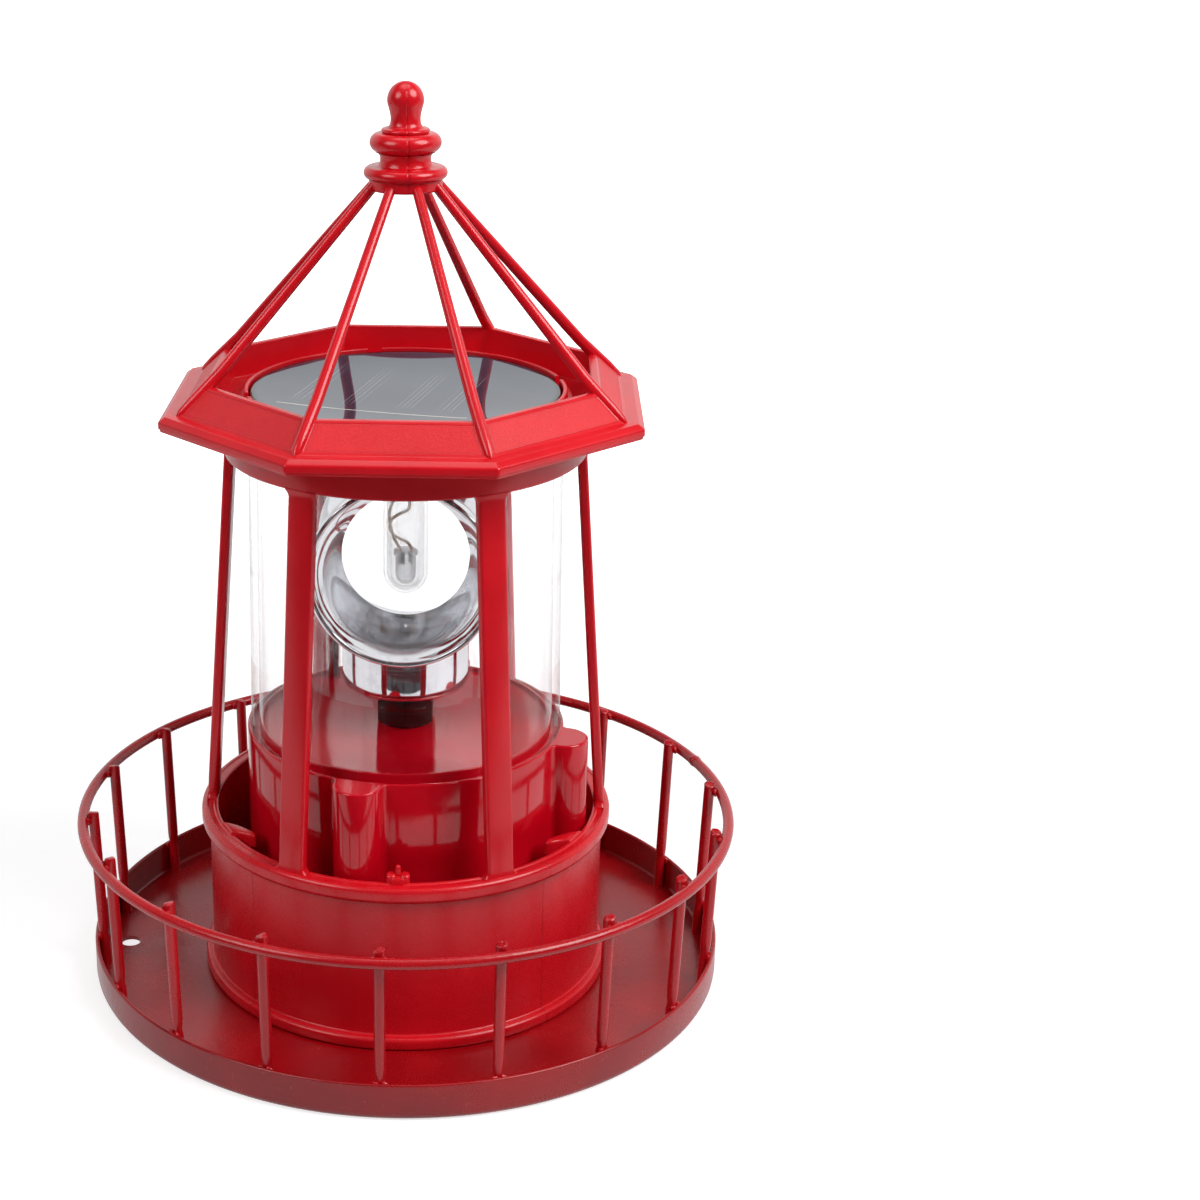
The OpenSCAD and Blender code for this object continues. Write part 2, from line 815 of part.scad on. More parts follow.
module base_cover() {
    color([0.12, 0.12, 0.13])
    difference() {
        union() {
            translate([0, 0, z_cover])
                cylinder(r = cover_r, h = cover_t);
            translate([bay_low[0], bay_low[1], z_base])
                cube([bay_size[0], bay_size[1], bay_h]);
            translate([-switch_w / 2 - bay_wall, switch_y - switch_d / 2 - bay_wall, z_base])
                cube([switch_w + 2 * bay_wall, switch_d + 2 * bay_wall, switch_h / 2]);
            translate([0, door_screw_y, z_base])
                cylinder(r = door_boss_r, h = door_boss_h, $fn = 48);
            for (x = [-board_hole_x, board_hole_x])
                translate([x, board_hole_y, z_base])
                    cylinder(r = board_post_r, h = z_board - z_base, $fn = 48);
        }
        translate([-tab_w / 2, tab_y - 1, z_cover - cut])
            cube([tab_w, tab_d + cut, door_t + cut]);
        translate([0, door_screw_y, z_cover])
            cylinder(r = screw_r, h = door_screw_len + loose, $fn = 48);
        for (x = [-board_hole_x, board_hole_x])
            translate([x, board_hole_y, z_board - board_screw_len])
                cylinder(r = screw_r, h = board_screw_len + cut, $fn = 48);
        translate([-door_len / 2, cell_y - door_w / 2, z_cover - cut])
            cube([door_len, door_w, cover_t + bay_h + 2 * cut]);
        for (a = boss_angles)
            at(a, boss_hole_at, z_cover - cut) {
                cylinder(r = screw_r + slip, h = cover_t + 2 * cut, $fn = 48);
                cylinder(r = head_r + slip, h = cover_sink + cut, $fn = 48);
            }
        translate([-switch_w / 2 - slip, switch_y - switch_d / 2 - slip, z_base])
            cube([switch_w + 2 * slip, switch_d + 2 * slip, switch_h]);
        translate([-(knob_w + switch_travel) / 2 - loose, switch_y - knob_d / 2 - loose, z_cover - cut])
            cube([knob_w + switch_travel + 2 * loose, knob_d + 2 * loose, cover_t + 2 * cut]);
        for (a = lug_angles)
            at(a, lug_at, z_cover - cut) {
                cylinder(r = lug_r + loose, h = cover_t + 2 * cut, $fn = 48);
                translate([0, -lug_web / 2 - loose, 0])
                    cube([cover_r, lug_web + 2 * loose, cover_t + 2 * cut]);
            }
    }
}

module cover_screws() {
    color([0.7, 0.7, 0.72])
    for (a = boss_angles)
        at(a, boss_hole_at, z_cover + cover_sink)
            screw(screw_len - 0.6);
}

module glass_cylinder() {
    color([0.85, 0.92, 0.95, 0.35])
    rotate_extrude()
        polygon([
            [glass_in_r, z_glass], [glass_foot_r, z_glass], [glass_foot_r, z_top],
            [glass_foot_r + glass_bead, z_top], [glass_foot_r + glass_bead, z_top + glass_bead_h],
            [glass_foot_r, z_top + glass_bead_h + glass_bead], [glass_top_r, z_head],
            [glass_top_in_r, z_head]
        ]);
}

module head_cap() {
    color([0.1, 0.1, 0.11])
    difference() {
        union() {
            translate([0, 0, z_head])
                cylinder(r = head_r_out, h = head_t);
            translate([0, 0, z_head - head_rim_h])
                tube(glass_top_in_r - slip, glass_top_in_r - slip - head_rim_wall, head_rim_h + 0.5);
            translate([0, 0, z_head - socket_h])
                tube(tube_r + slip + head_rim_wall, tube_r + slip, socket_h + 0.5);
        }
        at(conduit_angle, conduit_at, z_head - head_rim_h - cut)
            cylinder(r = conduit_r + slip, h = head_rim_h + cut, $fn = 48);
        at(conduit_angle, conduit_at, z_head - cut)
            cylinder(r = conduit_in_r, h = head_t + 2 * cut, $fn = 48);
    }
}

module solar_panel() {
    color([0.05, 0.06, 0.1])
    translate([0, 0, z_panel])
        cylinder(r = panel_r, h = panel_t);
}

module led_tube() {
    color([0.9, 0.95, 1, 0.35])
    difference() {
        union() {
            translate([0, 0, z_tube + tube_r])
                cylinder(r = tube_r, h = tube_len - tube_r);
            translate([0, 0, z_tube + tube_r])
                sphere(r = tube_r);
        }
        translate([0, 0, z_tube + tube_r])
            cylinder(r = tube_in_r, h = tube_len);
        translate([0, 0, z_tube + tube_r])
            sphere(r = tube_in_r);
    }
}

module led_sleeve() {
    color([0.05, 0.05, 0.05])
    translate([0, 0, z_sleeve])
        tube(sleeve_r, sleeve_bore_r, sleeve_len);
}

module led_diode() {
    color([0.95, 0.97, 1, 0.5]) {
        translate([0, 0, z_led + led_r])
            sphere(r = led_r, $fn = 64);
        translate([0, 0, z_led + led_r])
            cylinder(r = led_r, h = led_len - led_r, $fn = 64);
        translate([0, 0, z_led_top - led_flange_h])
            cylinder(r = led_r + led_flange, h = led_flange_h, $fn = 64);
    }
}

module led_leads() {
    rise = z_sleeve + pin_end - z_led_top;
    color([0.75, 0.55, 0.25]) {
        wire([
            [-pin_at, 0, z_led_top], [-pin_at, 0, z_led_top + pin_straight],
            [-3.7, 0.3, z_led_top + rise * 0.32],
            [-3.4, 0.5, z_led_top + rise * 0.38], [-0.3, 0.7, z_led_top + rise * 0.52],
            [-0.6, 0.7, z_led_top + rise * 0.66], [-0.8, 0.6, z_led_top + rise]
        ], pin_r, [0, 1, 0]);
        wire([
            [pin_at, 0, z_led_top], [pin_at, 0, z_led_top + pin_straight],
            [1.2, -0.6, z_led_top + rise * 0.3],
            [0.7, -0.9, z_led_top + rise * 0.52], [0.8, -0.7, z_led_top + rise * 0.7],
            [0.9, -0.6, z_led_top + rise]
        ], pin_r, [0, 1, 0]);
    }
}

module wire_conduit() {
    color([0.9, 0.95, 1, 0.35])
    at(conduit_angle, conduit_at, z_top)
        tube(conduit_r, conduit_in_r, z_head - z_top);
}

// Two wires from the panel, down the conduit to the circuit board
module conduit_wires() {
    spread = conduit_in_r / 2;
    drop = z_ceiling - z_board;
    for (side = [-1, 1])
        color(side < 0 ? [0.7, 0.05, 0.05] : [0.06, 0.06, 0.06])
            at(conduit_angle, 0)
                wire([
                    [conduit_at, side * spread, z_panel - hair], [conduit_at, side * spread, z_top],
                    [conduit_at, side * spread, z_ceiling - drop * 0.2],
                    [conduit_at * 0.97, side * lead_d * 0.7, z_board + drop * 0.45],
                    [conduit_at * 0.82, side * lead_d * 0.9, z_board + drop * 0.3],
                    [conduit_at * 0.45, side * lead_d, z_board + drop * 0.22],
                    [0, side * lead_d, z_board + drop * 0.15],
                    [-conduit_at * 0.2, side * lead_d, z_board + board_t + lead_r]
                ], lead_r, [0, 1, 0]);
}

// Section of the two bowls, from the waist to each rim
function bowl_r(t, shift) =
    waist_r - shift + (rim_r - waist_r) * sin(90 * min(1, t / bowl_shoulder));
function bowl_line(shift) = [
    for (i = [-bowl_steps : bowl_steps])
        [bowl_r(abs(i) / bowl_steps, shift), rim_at * i / bowl_steps]
];
function reversed(list) = [for (i = [len(list) - 1 : -1 : 0]) list[i]];

// Turn a section about the horizontal axis through the bowls
module turned(section) {
    translate([0, 0, z_bowl])
        rotate([90, 0, 0])
            rotate_extrude()
                polygon(section);
}

// Upright cylinders start off the bowls' middle plane, so that no edge meets the waist
module reflector() {
    off_plane = 25;
    color([0.85, 0.85, 0.87])
    union() {
        difference() {
            turned(concat(bowl_line(0), reversed(bowl_line(reflector_wall))));
            translate([0, 0, z_bowl + skirt_under])
                rotate([0, 0, off_plane])
                    cylinder(r = tube_r + hole_gap, h = rim_r);
        }
        difference() {
            translate([0, 0, z_skirt])
                rotate([0, 0, off_plane])
                    cylinder(r = skirt_r, h = bowl_rise - skirt_under);
            difference() {
                translate([0, 0, z_skirt + reflector_wall])
                    rotate([0, 0, off_plane])
                        cylinder(r = skirt_r - reflector_wall, h = bowl_rise);
                translate([0, 0, z_skirt])
                    cylinder(r = hub_r, h = hub_h, $fn = 48);
            }
            turned(concat([[0, -rim_at]], bowl_line(reflector_wall / 2), [[0, rim_at]]));
            translate([0, 0, z_skirt - cut])
                cylinder(r = shaft_r + hair, h = hub_h + 2 * cut, $fn = 48);
        }
    }
}

module drive_shaft() {
    color([0.1, 0.1, 0.1])
    translate([0, 0, z_plate - shaft_end])
        cylinder(r = shaft_r, h = z_skirt + hub_h - z_plate - shaft_end, $fn = 48);
}

module shaft_bush() {
    color([0.08, 0.08, 0.08])
    difference() {
        union() {
            translate([0, 0, z_flange])
                cylinder(r = flange_r, h = flange_t);
            translate([0, 0, z_flange])
                cylinder(r = bush_r, h = z_nut + nut_h + bush_end - z_flange);
        }
        translate([0, 0, z_flange - cut])
            cylinder(r = shaft_r + run_gap, h = z_nut + nut_h - z_flange + 2 * cut, $fn = 64);
    }
}

module lock_nut() {
    across_flats = nut_r * cos(30);
    chamfer = (nut_r - across_flats) * 1.07;
    color([0.06, 0.06, 0.06])
    translate([0, 0, z_nut])
        difference() {
            intersection() {
                cylinder(r = nut_r, h = nut_h, $fn = 6);
                union() {
                    cylinder(r1 = across_flats, r2 = nut_r, h = chamfer);
                    translate([0, 0, chamfer])
                        cylinder(r = nut_r, h = nut_h - 2 * chamfer);
                    translate([0, 0, nut_h - chamfer])
                        cylinder(r1 = nut_r, r2 = across_flats, h = chamfer);
                }
            }
            translate([0, 0, -cut])
                cylinder(r = bush_r + slip, h = nut_h + 2 * cut);
        }
}

module output_gear() {
    color([0.9, 0.9, 0.86])
    difference() {
        union() {
            translate([0, 0, z_output])
                rotate([0, 0, 90])
                    gear(output_teeth, gear_w);
            translate([0, 0, z_output])
                cylinder(r = gear_hub_r, h = gear_w + gear_hub_h, $fn = 48);
        }
        translate([0, 0, z_output - cut])
            cylinder(r = shaft_r + hair, h = gear_w + 4, $fn = 48);
    }
}

module idler_gear() {
    color([0.9, 0.9, 0.86])
    translate([0, idler_y, 0])
        difference() {
            union() {
                translate([0, 0, z_idler_wheel])
                    gear(idler_teeth, gear_w);
                translate([0, 0, z_idler_wheel])
                    cylinder(r = pinion_pitch - 1.25 * gear_m, h = z_output - z_idler_wheel, $fn = 48);
                translate([0, 0, z_output])
                    rotate([0, 0, 270 + 180 / pinion_teeth])
                        gear(pinion_teeth, gear_w);
            }
            translate([0, 0, z_idler_wheel - cut])
                cylinder(r = pin_hold_r + run_gap, h = z_output + gear_w - z_idler_wheel + 2 * cut, $fn = 48);
        }
}

module idler_pin() {
    color([0.75, 0.75, 0.77])
    translate([0, idler_y, z_plate])
        cylinder(r = pin_hold_r, h = z_output + gear_w + 1 - z_plate, $fn = 48);
}

module motor_pinion() {
    color([0.8, 0.7, 0.35])
    translate([motor_x, idler_y, 0]) {
        translate([0, 0, z_idler_wheel])
            rotate([0, 0, 180 + 180 / pinion_teeth])
                gear(pinion_teeth, gear_w);
        translate([0, 0, z_plate - motor_pin_depth])
            cylinder(r = motor_pin_r, h = z_idler_wheel - z_plate + motor_pin_depth + hair, $fn = 48);
    }
}

module motor() {
    color([0.72, 0.72, 0.74])
    translate([motor_x, idler_y, z_motor])
        difference() {
            union() {
                cylinder(r = motor_r, h = motor_h);
                translate([0, 0, -motor_neck_low])
                    cylinder(r = motor_neck_r, h = motor_neck_low + cut, $fn = 48);
                translate([0, 0, motor_h - cut])
                    cylinder(r = motor_neck_r, h = motor_neck_h + cut, $fn = 48);
            }
            translate([0, 0, motor_h - motor_pin_depth - loose])
                cylinder(r = motor_pin_r + run_gap, h = motor_pin_depth + motor_neck_h + 2 * cut, $fn = 48);
        }
}

module motor_wires() {
    for (side = [-1, 1])
        color(side < 0 ? [0.7, 0.05, 0.05] : [0.06, 0.06, 0.06])
            wire([
                [motor_x + side * 2, motor_wire_y, z_motor],
                [motor_x + side * 2, motor_wire_y, z_motor - lead_d],
                [motor_x + side * 2, motor_wire_y - 2, z_motor - 2 * lead_d],
                [motor_x + side * 2, (motor_wire_y + board_edge_y) / 2, z_board + board_t + 2],
                [motor_x + side * 2, board_edge_y - 1, z_board + board_t + thin_r]
            ], thin_r, [1, 0, 0]);
}

module gear_plate() {
    color([0.88, 0.88, 0.84])
    difference() {
        union() {
            translate([0, 0, z_plate])
                linear_extrude(height = plate_t)
                    difference() {
                        translate(plate_low)
                            square(plate_high - plate_low);
                        translate([-plate_slot[0] / 2, plate_low[1] - cut])
                            square(plate_slot);
                    }
            for (p = plate_posts)
                translate([p[0], p[1], z_plate])
                    cylinder(r = plate_post_r, h = z_ceiling - z_plate, $fn = 48);
        }
        for (p = plate_posts)
            translate([p[0], p[1], z_plate - cut])
                cylinder(r = screw_r, h = screw_len + cut, $fn = 48);
        translate([0, 0, z_plate - cut])
            cylinder(r = shaft_r + run_gap, h = plate_t + 2 * cut, $fn = 64);
        translate([0, idler_y, z_plate - cut])
            cylinder(r = pin_hold_r + hair, h = plate_t + 2 * cut, $fn = 48);
        translate([motor_x, idler_y, z_plate - cut])
            cylinder(r = motor_neck_r + slip, h = plate_t + 2 * cut, $fn = 48);
    }
}

module plate_screws() {
    color([0.7, 0.7, 0.72])
    for (p = plate_posts)
        translate([p[0], p[1], z_plate])
            screw(screw_len - 0.6);
}

module circuit_board() {
    color([0.1, 0.35, 0.15])
    difference() {
        union() {
            translate([-board_w / 2, board_y - board_d / 2, z_board])
                cube([board_w, board_d, board_t]);
            translate([-chip[0] / 2, board_y - chip[1] / 2, z_board + board_t])
                cube(chip);
            translate([board_w * 0.18, board_y + board_d * 0.1, z_board + board_t])
                cylinder(r = cap_r, h = cap_h, $fn = 48);
            translate([-board_w * 0.3, board_y + board_d * 0.15, z_board + board_t])
                cylinder(r = cap_r * 0.8, h = cap_h * 0.6, $fn = 48);
        }
        for (x = [-board_hole_x, board_hole_x])
            translate([x, board_hole_y, z_board - cut])
                cylinder(r = screw_r + slip, h = board_t + 2 * cut, $fn = 48);
    }
}

module board_screws() {
    color([0.7, 0.7, 0.72])
    for (x = [-board_hole_x, board_hole_x])
        translate([x, board_hole_y, z_board + board_t])
            rotate([180, 0, 0])
                screw(board_screw_len);
}

module battery_cell() {
    color([0.2, 0.55, 0.3])
    translate([-cell_len / 2, cell_y, z_cell])
        rotate([0, 90, 0]) {
            cylinder(r = cell_r, h = cell_len - cell_nub_h);
            translate([0, 0, cell_len - cell_nub_h])
                cylinder(r = cell_nub_r, h = cell_nub_h, $fn = 48);
        }
}

module battery_contacts() {
    color([0.8, 0.8, 0.8])
    for (side = [-1, 1])
        translate([side * contact_x, cell_y, z_cell])
            cube([contact_t, contact_w, contact_h], center = true);
}

module battery_wires() {
    for (side = [-1, 1])
        color(side > 0 ? [0.7, 0.05, 0.05] : [0.06, 0.06, 0.06])
            wire([
                [side * wire_x, cell_y, z_cell + contact_h / 2], [side * wire_x, cell_y, z_cell + cell_r],
                [side * (wire_x - wire_bow), cell_y, z_board + board_t + wire_bow],
                [side * (wire_x + board_w / 2) / 2, cell_y, z_board + board_t + wire_bow * 1.2],
                [side * (board_w / 2 - pad_in), cell_y, z_board + board_t + thin_r]
            ], thin_r, [0, 1, 0]);
}

module battery_door() {
    color([0.12, 0.12, 0.13])
    difference() {
        union() {
            translate([-door_len / 2 + slip, cell_y - door_w / 2 + slip, z_door])
                cube([door_len - 2 * slip, door_w - 2 * slip, door_t]);
            translate([-tab_w / 2 + slip, tab_y - 1, z_door])
                cube([tab_w - 2 * slip, tab_d + 1 - slip, door_t]);
        }
        translate([0, door_screw_y, z_door - cut])
            cylinder(r = screw_r + slip, h = door_t + 2 * cut, $fn = 48);
    }
}

module door_screw() {
    color([0.7, 0.7, 0.72])
    translate([0, door_screw_y, z_cover])
        screw(door_screw_len);
}

module switch_body() {
    color([0.75, 0.75, 0.77])
    translate([-switch_w / 2, switch_y - switch_d / 2, z_switch])
        cube([switch_w, switch_d, switch_h]);
}

module switch_slider() {
    color([0.05, 0.05, 0.05])
    translate([-switch_travel / 2 - knob_w / 2, switch_y - knob_d / 2, z_switch - knob_h])
        cube([knob_w, knob_d, knob_h - hair]);
}

gallery_tray();
railing_ring();
balusters();
drum();
cage_posts();
collar();
roof_shell();
roof_rods();
finial();
tray_screws();
lamp_base();
base_cover();
cover_screws();
glass_cylinder();
head_cap();
solar_panel();
led_tube();
led_sleeve();
led_diode();
led_leads();
wire_conduit();
conduit_wires();
reflector();
drive_shaft();
shaft_bush();
lock_nut();
output_gear();
idler_gear();
idler_pin();
motor_pinion();
motor();
motor_wires();
gear_plate();
plate_screws();
circuit_board();
board_screws();
battery_cell();
battery_contacts();
battery_wires();
battery_door();
door_screw();
switch_body();
switch_slider();
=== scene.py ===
import math
import bmesh
import bpy
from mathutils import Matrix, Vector


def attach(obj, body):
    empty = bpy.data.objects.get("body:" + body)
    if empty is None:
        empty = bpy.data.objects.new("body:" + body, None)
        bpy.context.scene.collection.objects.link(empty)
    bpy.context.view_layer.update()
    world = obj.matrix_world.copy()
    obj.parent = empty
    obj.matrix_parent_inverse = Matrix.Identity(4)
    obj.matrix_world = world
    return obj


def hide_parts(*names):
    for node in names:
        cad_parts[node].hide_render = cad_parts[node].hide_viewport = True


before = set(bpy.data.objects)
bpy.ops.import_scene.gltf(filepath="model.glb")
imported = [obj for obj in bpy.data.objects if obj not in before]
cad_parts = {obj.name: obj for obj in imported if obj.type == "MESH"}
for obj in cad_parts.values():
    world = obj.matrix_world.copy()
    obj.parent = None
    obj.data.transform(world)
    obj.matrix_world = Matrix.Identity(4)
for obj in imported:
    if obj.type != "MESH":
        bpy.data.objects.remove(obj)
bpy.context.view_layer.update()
mm = 0.001
print("frame:", len(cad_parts), "nodes")

# Camera, solved from the round edges in the photograph (pixels of a 1200 x 1200 image)
cameraFit = {
    "imageWidth": 1200,
    "focalPixels": 2258.15,
    "middlePixel": (405.63, 587.63),
    "distance": 552.62,
    "elevation": 19.99,
    "turn": 3.17,
    "targetHeight": 100.0,
}


def makeCamera():
    fit = cameraFit
    data = bpy.data.cameras.new("camera")
    camera = bpy.data.objects.new("camera", data)
    bpy.context.scene.collection.objects.link(camera)
    up = math.radians(fit["elevation"])
    turn = math.radians(fit["turn"])
    away = Vector((math.sin(turn) * math.cos(up), -math.cos(turn) * math.cos(up), math.sin(up)))
    camera.location = Vector((0, 0, fit["targetHeight"] * mm)) + away * fit["distance"] * mm
    camera.rotation_euler = away.to_track_quat("Z", "Y").to_euler()
    data.sensor_width = 36
    data.lens = fit["focalPixels"] * data.sensor_width / fit["imageWidth"]
    data.shift_x = 0.5 - fit["middlePixel"][0] / fit["imageWidth"]
    data.shift_y = fit["middlePixel"][1] / fit["imageWidth"] - 0.5
    data.clip_start = 0.01
    bpy.context.scene.camera = camera


makeCamera()


# Shader and geometry nodes: a wire is one output socket, and sums on wires add Math nodes
class Wire:
    def __init__(self, tree, socket=None):
        self.tree = tree
        self.socket = socket

    def node(self, kind, settings=None, sockets=None, out=0):
        made = self.tree.nodes.new(kind)
        for name, value in (settings or {}).items():
            setattr(made, name, value)
        for key, value in (sockets or {}).items():
            if isinstance(value, Wire):
                self.tree.links.new(value.socket, made.inputs[key])
            else:
                made.inputs[key].default_value = value
        return Wire(self.tree, made.outputs[out] if len(made.outputs) else None)

    def other(self, name):                      # another output of the same node
        return Wire(self.tree, self.socket.node.outputs[name])

    def maths(self, operation, *values):
        return self.node("ShaderNodeMath", {"operation": operation}, dict(enumerate(values)))

    def __add__(self, value):
        return self.maths("ADD", self, value)

    def __sub__(self, value):
        return self.maths("SUBTRACT", self, value)

    def __rsub__(self, value):
        return self.maths("SUBTRACT", value, self)

    def __mul__(self, value):
        return self.maths("MULTIPLY", self, value)

    def __truediv__(self, value):
        return self.maths("DIVIDE", self, value)

    def __abs__(self):
        return self.maths("ABSOLUTE", self)

    __radd__ = __add__


def tone(red, green, blue):                     # a colour read off a screen, 0 to 255
    def linear(value):
        share = value / 255
        return share / 12.92 if share <= 0.04045 else ((share + 0.055) / 1.055) ** 2.4
    return (linear(red), linear(green), linear(blue), 1.0)


def noise(at, size, detail=2.0, roughness=0.5, stretch=(1, 1, 1)):    # size of a patch in mm
    where = at
    if stretch != (1, 1, 1):
        where = at.node("ShaderNodeVectorMath", {"operation": "MULTIPLY"}, {0: at, 1: stretch})
    sockets = {"Vector": where, "Scale": 1 / (size * mm), "Detail": detail, "Roughness": roughness}
    return at.node("ShaderNodeTexNoise", {}, sockets)


def cells(at, size, out="Distance"):
    return at.node("ShaderNodeTexVoronoi", {}, {"Vector": at, "Scale": 1 / (size * mm)}).other(out)


def fade(value, low, high, start=0.0, end=1.0):    # smooth step from low to high
    sockets = {"Value": value, "From Min": low, "From Max": high, "To Min": start, "To Max": end}
    return value.node("ShaderNodeMapRange", {"interpolation_type": "SMOOTHSTEP"}, sockets)


def mixTone(share, first, second):
    return share.node("ShaderNodeMix", {"data_type": "RGBA"}, {0: share, 6: first, 7: second}, 2)


def clouded(cloud, first, second, low=0.3, high=0.75):
    return mixTone(fade(cloud, low, high), first, second)


def spots(at, size, low, high, patch, start, end):    # small round spots, only in some patches
    return fade(cells(at, size), low, high, 1.0, 0.0) * fade(noise(at, patch), start, end)


def axes(at):
    split = at.node("ShaderNodeSeparateXYZ", {}, {0: at})
    return split, split.other("Y"), split.other("Z")


def newLook(name):
    look = bpy.data.materials.new(name)
    look.use_nodes = True
    look.node_tree.nodes.clear()
    return look, Wire(look.node_tree).node("ShaderNodeTexCoord", {}, {}, "Object")


def finishLook(look, at, sockets, heights=()):  # heights: (wire, depth in mm), coarse first
    normal = None
    for height, depth in heights:
        bump = {"Height": height, "Distance": depth * mm, "Strength": 1.0}
        if normal:
            bump["Normal"] = normal
        normal = at.node("ShaderNodeBump", {}, bump)
    sockets = dict(sockets)
    if normal:
        sockets["Normal"] = normal
    shader = at.node("ShaderNodeBsdfPrincipled", {}, sockets)
    at.node("ShaderNodeOutputMaterial", {}, {"Surface": shader})
    return look


# Finishes
def powderRed(name, first, second):             # powder coat on steel: orange peel, small chips, small pale pink specks
    look, at = newLook(name)
    peel = noise(at, 1.3, 2.0, 0.55)
    grain = noise(at, 0.35, 1.0)
    cloud = noise(at, 30, 3.0)
    chips = spots(at, 7.0, 0.0, 0.035, 22, 0.56, 0.6)
    paint = clouded(cloud, first, second, 0.35, 0.7)
    # small pale pink specks in scattered patches
    paint = mixTone(fade(noise(at, 1.1, 1.0), 0.68, 0.8) * 0.35, paint, tone(190, 70, 70))
    paint = mixTone(chips, paint, tone(70, 40, 38))
    rough = 0.17 + fade(cloud, 0.3, 0.75) * 0.1 + grain * 0.08
    sockets = {"Base Color": paint, "Roughness": rough, "Specular IOR Level": 0.5}
    return finishLook(look, at, sockets, ((peel, 0.05), (grain, 0.012), (chips, -0.05)))


def seamMask(at, angles, radius, width):        # upright mould lines at given angles from the front
    x, y, _ = axes(at)
    turn = at.maths("ARCTAN2", x, y * -1)
    mask = None
    for angle in angles:
        off = abs(turn - math.radians(angle))
        line = fade(off * radius, width * 0.4, width, 1.0, 0.0)
        mask = line if mask is None else mask.maths("MAXIMUM", mask, line)
    return mask


def mouldedRed(name, seams=(), seamRadius=50, rough=0.22, matte=0.012):
    look, at = newLook(name)
    grain = noise(at, 0.22, 1.0)
    cloud = noise(at, 26, 3.0, 0.6)
    streaks = noise(at, 9, 2.0, 0.5, (1, 1, 0.18))
    colour = clouded(cloud, tone(200, 12, 27), tone(214, 18, 32))
    colour = mixTone(fade(streaks, 0.55, 0.8) * 0.2, colour, tone(220, 34, 40))
    specks = spots(at, 5.0, 0.0, 0.03, 12, 0.55, 0.62)
    colour = mixTone(specks, colour, tone(120, 8, 14))
    gloss = rough + cloud * 0.06 + grain * 0.04
    heights = [(noise(at, 14, 1.0), 0.12), (grain, matte), (specks, -0.03)]
    if seams:
        seam = seamMask(at, seams, seamRadius, 0.28)
        colour = mixTone(seam * 0.3, colour, tone(140, 8, 26))
        heights.append((seam, -0.06))
    sockets = {"Base Color": colour, "Roughness": gloss, "Specular IOR Level": 0.45}
    return finishLook(look, at, sockets, heights)


def roofRed():                                  # matte mould texture inside the margins of each panel
    look, at = newLook("moulded_red_roof")
    field = at.node("ShaderNodeAttribute", {"attribute_name": "field"}, {}, "Fac")
    inset = fade(field, 0.9, 1.25)
    step = fade(field, 0.85, 1.1)
    grain = noise(at, 0.42, 2.0, 0.7)
    fine = noise(at, 0.2, 1.0)
    cloud = noise(at, 24, 3.0, 0.6)
    colour = clouded(cloud, tone(202, 12, 27), tone(216, 18, 32))
    colour = mixTone(inset * (fade(grain, 0.35, 0.7) * 0.4 + 0.1), colour, tone(224, 44, 48))
    edge = inset * (1 - fade(field, 1.25, 1.7))
    colour = mixTone(edge * 0.15, colour, tone(140, 8, 26))
    rough = 0.2 + inset * 0.18 + cloud * 0.06 + fine * 0.04
    heights = ((noise(at, 14, 1.0), 0.12), (step, -0.12), (inset * grain, 0.09), (fine, 0.008))
    sockets = {"Base Color": colour, "Roughness": rough, "Specular IOR Level": 0.45}
    return finishLook(look, at, sockets, heights)


def glossRed():                                 # the polished mould face of the lamp base
    look, at = newLook("gloss_red")
    wave = noise(at, 11, 1.0, 0.4, (1, 1, 0.35))
    cloud = noise(at, 18, 3.0)
    smudge = fade(noise(at, 6, 3.0, 0.7), 0.5, 0.75)
    colour = clouded(cloud, tone(190, 3, 24), tone(206, 8, 30))
    scuffs = fade(noise(at, 1.6, 1.0, 0.4, (1, 1, 0.12)), 0.7, 0.78)
    rough = 0.09 + smudge * 0.09 + scuffs * 0.12
    sockets = {"Base Color": colour, "Roughness": rough}
    return finishLook(look, at, sockets, ((wave, 0.16), (scuffs, 0.004)))


def chrome():                                   # plated plastic: ripples, pinholes, faint haze
    look, at = newLook("chrome_plating")
    ripple = noise(at, 7, 1.0, 0.4)
    haze = fade(noise(at, 5, 3.0, 0.7), 0.45, 0.8)
    pits = spots(at, 3.2, 0.0, 0.05, 9, 0.56, 0.62)
    colour = mixTone(haze * 0.5, tone(236, 236, 240), tone(206, 208, 214))
    colour = mixTone(pits, colour, tone(90, 90, 96))
    rough = 0.035 + haze * 0.06
    sockets = {"Base Color": colour, "Metallic": 1.0, "Roughness": rough}
    return finishLook(look, at, sockets, ((ripple, 0.07), (pits, -0.02)))


def clearPlastic(name, tint, body=0.25, streak=0.3, rim=200):
    look, at = newLook(name)                    # a thin wall shows most where it is seen edge on, and there its colour turns to a painted edge tone
    flow = noise(at, 6, 2.0, 0.5, (1, 1, 0.1))
    smudge = fade(noise(at, 8, 3.0, 0.65), 0.5, 0.8)
    edge = at.node("ShaderNodeLayerWeight", {}, {"Blend": 0.25}, "Facing")
    alpha = body + fade(edge, 0.35, 1.0) * (1 - body) * 0.9 + smudge * 0.03
    colour = mixTone(smudge * 0.4, tint, tone(226, 228, 232))
    # painted edge tone where the wall is seen edge on: a pale painted reflection on the cylinder, a dark
    # painted shade outline on the tube and the lens
    colour = mixTone(fade(edge, 0.5, 0.95), colour, tone(rim, rim, rim + 6))
    rough = 0.02 + smudge * 0.07
    sockets = {"Base Color": colour, "Roughness": rough, "Alpha": alpha, "IOR": 1.49,
               "Transmission Weight": 1.0}
    return finishLook(look, at, sockets, ((flow, streak * 0.1),))


